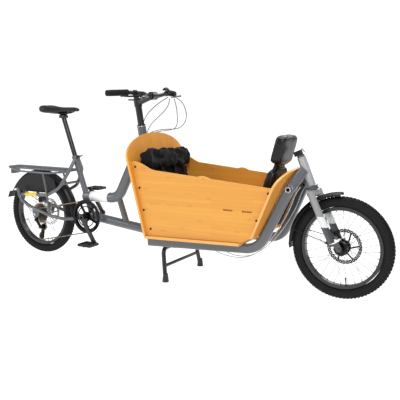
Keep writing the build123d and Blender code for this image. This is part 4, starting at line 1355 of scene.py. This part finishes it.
# ---- cables --------------------------------------------------------------------------------
@dataclass
class Cables:
    """Housings held by the bicycle, smooth through the frame's routes (millimetres)."""

    datum: Datum
    radius: float = 2.5 * MM

    def lines(self, routes: Sequence[Sequence[Point]]) -> bpy.types.Mesh:
        """Several housings as one mesh."""
        return joined("lines", [smooth_line([self.datum.at(*p) for p in route], self.radius)
                                for route in routes])

    def build(self, finish: Finishes) -> None:
        """Handlebar loops, frame runs and the front brake hose."""
        loops = [
            [(880, 141, 1000), (862, 118, 985), (826, 84, 950), (786, 56, 902), (768, 40, 850),
             (780, 30, 800)],
            [(886, 146, 994), (886, 146, 966), (872, 118, 922), (838, 78, 876), (812, 46, 838),
             (803, 30, 796)],
            [(905, 166, 992), (914, 176, 950), (918, 180, 900), (922, 176, 852), (918, 160, 818),
             (886, 124, 808), (850, 76, 804), (822, 36, 790)],
            [(918, 160, 999), (944, 172, 986), (970, 182, 944), (980, 186, 890), (966, 182, 844),
             (926, 166, 814), (880, 134, 816), (842, 84, 812), (818, 42, 797)]]
        bar_loops = add_object("bar_cable_loops", self.lines(loops), finish.cable)
        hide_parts("control_cables")
        self.datum.at(880, 0, 975)
        self.datum.at(880, 0, 815)
        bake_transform(bar_loops)
        runs = [[(x, side * y, z) for x, y, z in (
            (838, 32, 652), (870, 58, 566), (896, 84, 470), (918, 98, 374), (933, 100, 300),
            (945, 99, 240), (1020, 93, 238.6), (1130, 76, 239), (1215, 52, 208), (1300, 30, 160),
            (1380, 19, 141), (1460, 17, 145), (1530, 24, 178), (1590, 34, 232), (1646, 42, 300),
            (1692, 46, 376), (1730, 48, 452), (1752, 47, 522), (1776, 40, 556))]
            for side in (-1, 1)]
        steering = add_object("steering_housings", self.lines(runs), finish.grey_cable)
        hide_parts("frame_cables")
        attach(steering, "frame")
        hose_route = [(1752, 84, 540), (1772, 82, 524), (1800, 84, 500), (1830, 87, 464),
                      (1856, 86, 424), (1876, 74, 386), (1888, 56, 356), (1892, 46, 340)]
        hose = add_object("front_brake_line", self.lines([hose_route]), finish.cable)
        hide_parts("front_brake_hose")
        self.datum.at(*hose_route[0])
        self.datum.at(*hose_route[-2])
        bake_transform(hose)
        log.info("cables: four loops, two steering housings, one hose")


# ---- trim ----------------------------------------------------------------------------------
@dataclass
class Trim:
    """Sleeves, port rings, weld beads, coat guards and the chainring's lip (millimetres)."""

    datum: Datum

    def sleeve(self, name: str, a: Point, b: Point, radius: float, finish: bpy.types.Material) -> None:
        """Thin band round a tube from a to b."""
        start, end = self.datum.at(*a), self.datum.at(*b)
        run = (end - start).normalized()
        side = run.cross(UP if abs(run.z) < 0.9 else AHEAD).normalized()
        other = run.cross(side)
        rings = []
        for along, r in ((0, radius - 0.5), (0.6, radius), (-0.6, radius), (0, radius - 0.5)):
            base = start if len(rings) < 2 else end
            rings.append([base + run * along * MM + way * r * MM
                          for way in round_table(side, other, 40)])
        made = add_object(name, mesh_from(name, skin(rings)), finish)
        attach(made, "frame")

    def ring(self, name: str, centre: Point, axis: Vector, radius: float, thick: float,
             finish: bpy.types.Material, slot: str, body: str = "frame") -> None:
        """Round bead, such as a weld or a port's rim."""
        middle = self.datum.at(*centre)
        axis = axis.normalized()
        side = axis.cross(LEFT if abs(axis.y) < 0.9 else AHEAD).normalized()
        other = axis.cross(side)
        rings = []
        for k in range(48):
            t = math.tau * k / 48
            out = side * math.cos(t) + other * math.sin(t)
            swell = thick * (1 + 0.12 * math.sin(t * 24))
            rings.append([middle + out * (radius + swell * math.cos(u)) * MM
                          + axis * swell * math.sin(u) * MM
                          for u in (math.tau * j / 10 for j in range(10))])
        made = add_object(name, mesh_from(name, skin(rings, closed=True)), finish)
        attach(made, body)

    def build(self, finish: Finishes) -> None:
        """Every small piece of trim."""
        self.sleeve("top_tube_band", (410, 0, 398.1), (545, 0, 400.7), 31.5, finish.white_paint)
        for side, name in ((-1, "right"), (1, "left")):
            self.sleeve(f"stay_sleeve_{name}", (34, side * 82.7, 390.3), (-66, side * 81.4, 386.1),
                        11.4, finish.yellow)
            self.ring(f"upright_port_ring_{name}", (1745, side * 133.4, 550), LEFT, 13, 3.2,
                      finish.alloy, "alloy")
        rake = 0.1685           # how far the column leans back over each unit of its height
        for name, z in (("head_bead_low", 692), ("head_bead_high", 834)):
            self.ring(name, (762 + (978 - z) * rake, 0, z), Vector((-rake, 0, 1)), 24.5, 1.6,
                      finish.alloy, "alloy")
        guard_r = 262           # radius of the coat guards' round edge
        for side, name in ((-1, "right"), (1, "left")):
            outline = [(guard_r * math.cos(t), guard_r * math.sin(t))
                       for t in (math.radians(58 + 84 * k / 24) for k in range(25))]
            outline += [(-196, 146), (-150, 138), (120, 138), (150, 160)]
            rings = [[self.datum.at(x, side * y, AXLE_Z + z) for x, z in outline] for y in (34, 36)]
            skirt = add_object(f"coat_guard_{name}", mesh_from("coat_guard", skin(rings),
                                                               smooth=False), finish.plastic)
            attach(skirt, "frame")
        self.ring("chainring_lip", (CRANK_X, -61.5, CRANK_Z), LEFT, 62, 3.2, finish.black_alloy,
                  "dark_alloy", "crank")
        seat_axis = Vector((283 - CRANK_X, 0, 641 - CRANK_Z))
        self.ring("seat_tube_bead", (400, 0, 303), seat_axis, 18, 1.8, finish.slate, "frame_paint")
        self.ring("collar_seam", (289, 0, 624), seat_axis, 18.4, 1.5, finish.black_paint,
                  "frame_paint")


def tail_lamp(datum: Datum, finish: Finishes) -> None:
    """Red lens on the carrier's rear bracket."""
    rings = []
    for depth, half_y, half_z in ((0, 30, 13), (3, 30, 13), (4.5, 27, 10)):
        rings.append([Vector((datum.at(-241 - depth, 0, 0).x,
                              half_y * MM * squared(math.cos(t), 0.4),
                              (522 + half_z * squared(math.sin(t), 0.4)) * MM))
                      for t in (math.tau * k / 32 for k in range(32))])
    lens = add_object("tail_lens", mesh_from("tail_lens", skin(rings)), finish.red)
    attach(lens, "frame")
    log.info("tail lens")


# ---- carried-over nodes --------------------------------------------------------------------
def dress(frame: dict, finish: Finishes) -> None:
    """Give every carried-over node its material."""
    plan = {
        finish.slate: ("seat_tube", "bottom_bracket", "top_tube", "lower_tube", "frame_braces",
                       "cargo_rail_right", "cargo_rail_left", "upper_stays", "lower_stays",
                       "rear_rack", "rear_head_tube"),
        finish.silver_paint: ("front_head_tube",),
        finish.black_paint: ("steering_column", "handlebar_stem", "handlebar", "crank_arms",
                             "stand_legs", "seat_post", "front_rim", "rear_rim"),
        finish.black_alloy: ("front_hub", "chainring", "rear_caliper", "front_caliper",
                             "rear_derailleur", "brake_lever_right", "brake_lever_left",
                             "collar_lever", "bell_striker", "box_bolts"),
        finish.plastic: ("rear_fender", "front_fender", "splash_guard", "front_light",
                         "bar_controls", "pedal_right", "pedal_left", "shift_lever", "saddle"),
        finish.steel: ("rear_axle", "rear_hub"),
        finish.spoke: ("front_spokes", "rear_spokes"),
        finish.chain_steel: ("chain", "cassette"),
        finish.side_board: ("box_side_right", "box_side_left"),
        finish.cross_board: ("box_back_panel", "box_front_panel"),
        finish.floor_board: ("box_floor",),
        finish.tyre: ("front_tyre", "rear_tyre"),
        finish.rubber: ("grips",),
        finish.cloth: ("bench_back", "bench_cushion"),
        finish.vinyl: ("front_backrest",),
        finish.cable: ("frame_cables", "control_cables", "front_brake_hose"),
        finish.fork: ("fork",),
    }
    for material, nodes in plan.items():
        for name in nodes:
            slots = frame["nodes"][name].data.materials
            slots.clear()
            slots.append(material)
    log.info("dressed %d nodes", sum(len(nodes) for nodes in plan.values()))


# ---- studio --------------------------------------------------------------------------------
EYE = (1.8937, -2.9943, 0.9959)
SIGHT = (-0.488, 0.858, -0.1605)
FOCAL_MM, SENSOR_MM = 56.5, 36
FLOOR_HALF = 30
AIM = Vector((0, 0, 0.45))


def studio() -> None:
    """Pale floor, soft lights and the camera."""
    floor = bpy.data.meshes.new("floor")
    floor.from_pydata([(x * FLOOR_HALF, y * FLOOR_HALF, 0)
                       for x, y in ((-1, -1), (1, -1), (1, 1), (-1, 1))], [], [(0, 1, 2, 3)])
    pale = Shader("studio_floor")
    pale.set(Base_Color=(0.22, 0.22, 0.22), Roughness=0.8, Emission_Color=(1, 1, 1),
             Emission_Strength=1.08, Specular_IOR_Level=0.0)
    add_object("floor", floor, pale.material)
    world = bpy.data.worlds.new("studio")
    world.use_nodes = True
    tree = world.node_tree
    soft = tree.nodes["Background"]
    soft.inputs["Color"].default_value = (1, 1, 1, 1)
    soft.inputs["Strength"].default_value = 0.33
    backdrop = tree.nodes.new("ShaderNodeBackground")
    backdrop.inputs["Strength"].default_value = 1.3
    seen = tree.nodes.new("ShaderNodeLightPath")
    choose = tree.nodes.new("ShaderNodeMixShader")
    tree.links.new(seen.outputs["Is Camera Ray"], choose.inputs["Fac"])
    tree.links.new(soft.outputs[0], choose.inputs[1])
    tree.links.new(backdrop.outputs[0], choose.inputs[2])
    tree.links.new(choose.outputs[0], tree.nodes["World Output"].inputs["Surface"])
    bpy.context.scene.world = world
    for name, place, size, power in (("key", (2.6, -3.4, 3.6), 2.0, 128),
                                     ("fill", (-3.6, -3.0, 2.4), 2.2, 48),
                                     ("top", (0.0, 0.6, 4.2), 3.0, 88),
                                     ("back", (0.5, 4.2, 3.0), 2.5, 45)):
        light = bpy.data.lights.new(name, "AREA")
        light.shape = "DISK"
        light.size = size
        light.energy = power
        lamp = bpy.data.objects.new(name, light)
        lamp.location = place
        lamp.rotation_euler = (AIM - Vector(place)).to_track_quat("-Z", "Y").to_euler()
        bpy.context.scene.collection.objects.link(lamp)
    camera = bpy.data.cameras.new("camera")
    camera.lens = FOCAL_MM
    camera.sensor_width = SENSOR_MM
    eye = bpy.data.objects.new("camera", camera)
    eye.location = EYE
    eye.rotation_euler = Vector(SIGHT).to_track_quat("-Z", "Y").to_euler()
    bpy.context.scene.collection.objects.link(eye)
    bpy.context.scene.camera = eye
    bpy.context.scene.view_settings.view_transform = "Standard"


def main() -> None:
    """Build the bicycle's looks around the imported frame."""
    logging.basicConfig(level=logging.INFO, format="%(name)s: %(message)s")
    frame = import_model()
    datum = Datum.from_frame()
    finish = Finishes()
    studio()
    dress(frame, finish)
    around, along = ring_repeat(), path_repeat()
    for name, body, valve, reflector in (("front", "front_wheel", -82, 96),
                                         ("rear", "rear_wheel", 20, -150)):
        low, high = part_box(f"{name}_tyre")
        Wheel(name, (low + high) / 2).build(finish, body, valve, reflector, around)
    Chain(datum).build(finish, along)
    seating = Seating(datum)
    seating.bench(finish)
    seating.harness(finish)
    seating.backrest(finish)
    contact = Contact(datum)
    contact.saddle(finish)
    contact.grips(finish)
    Cables(datum).build(finish)
    Trim(datum).build(finish)
    tail_lamp(datum, finish)


if __name__ == "__main__":
    main()
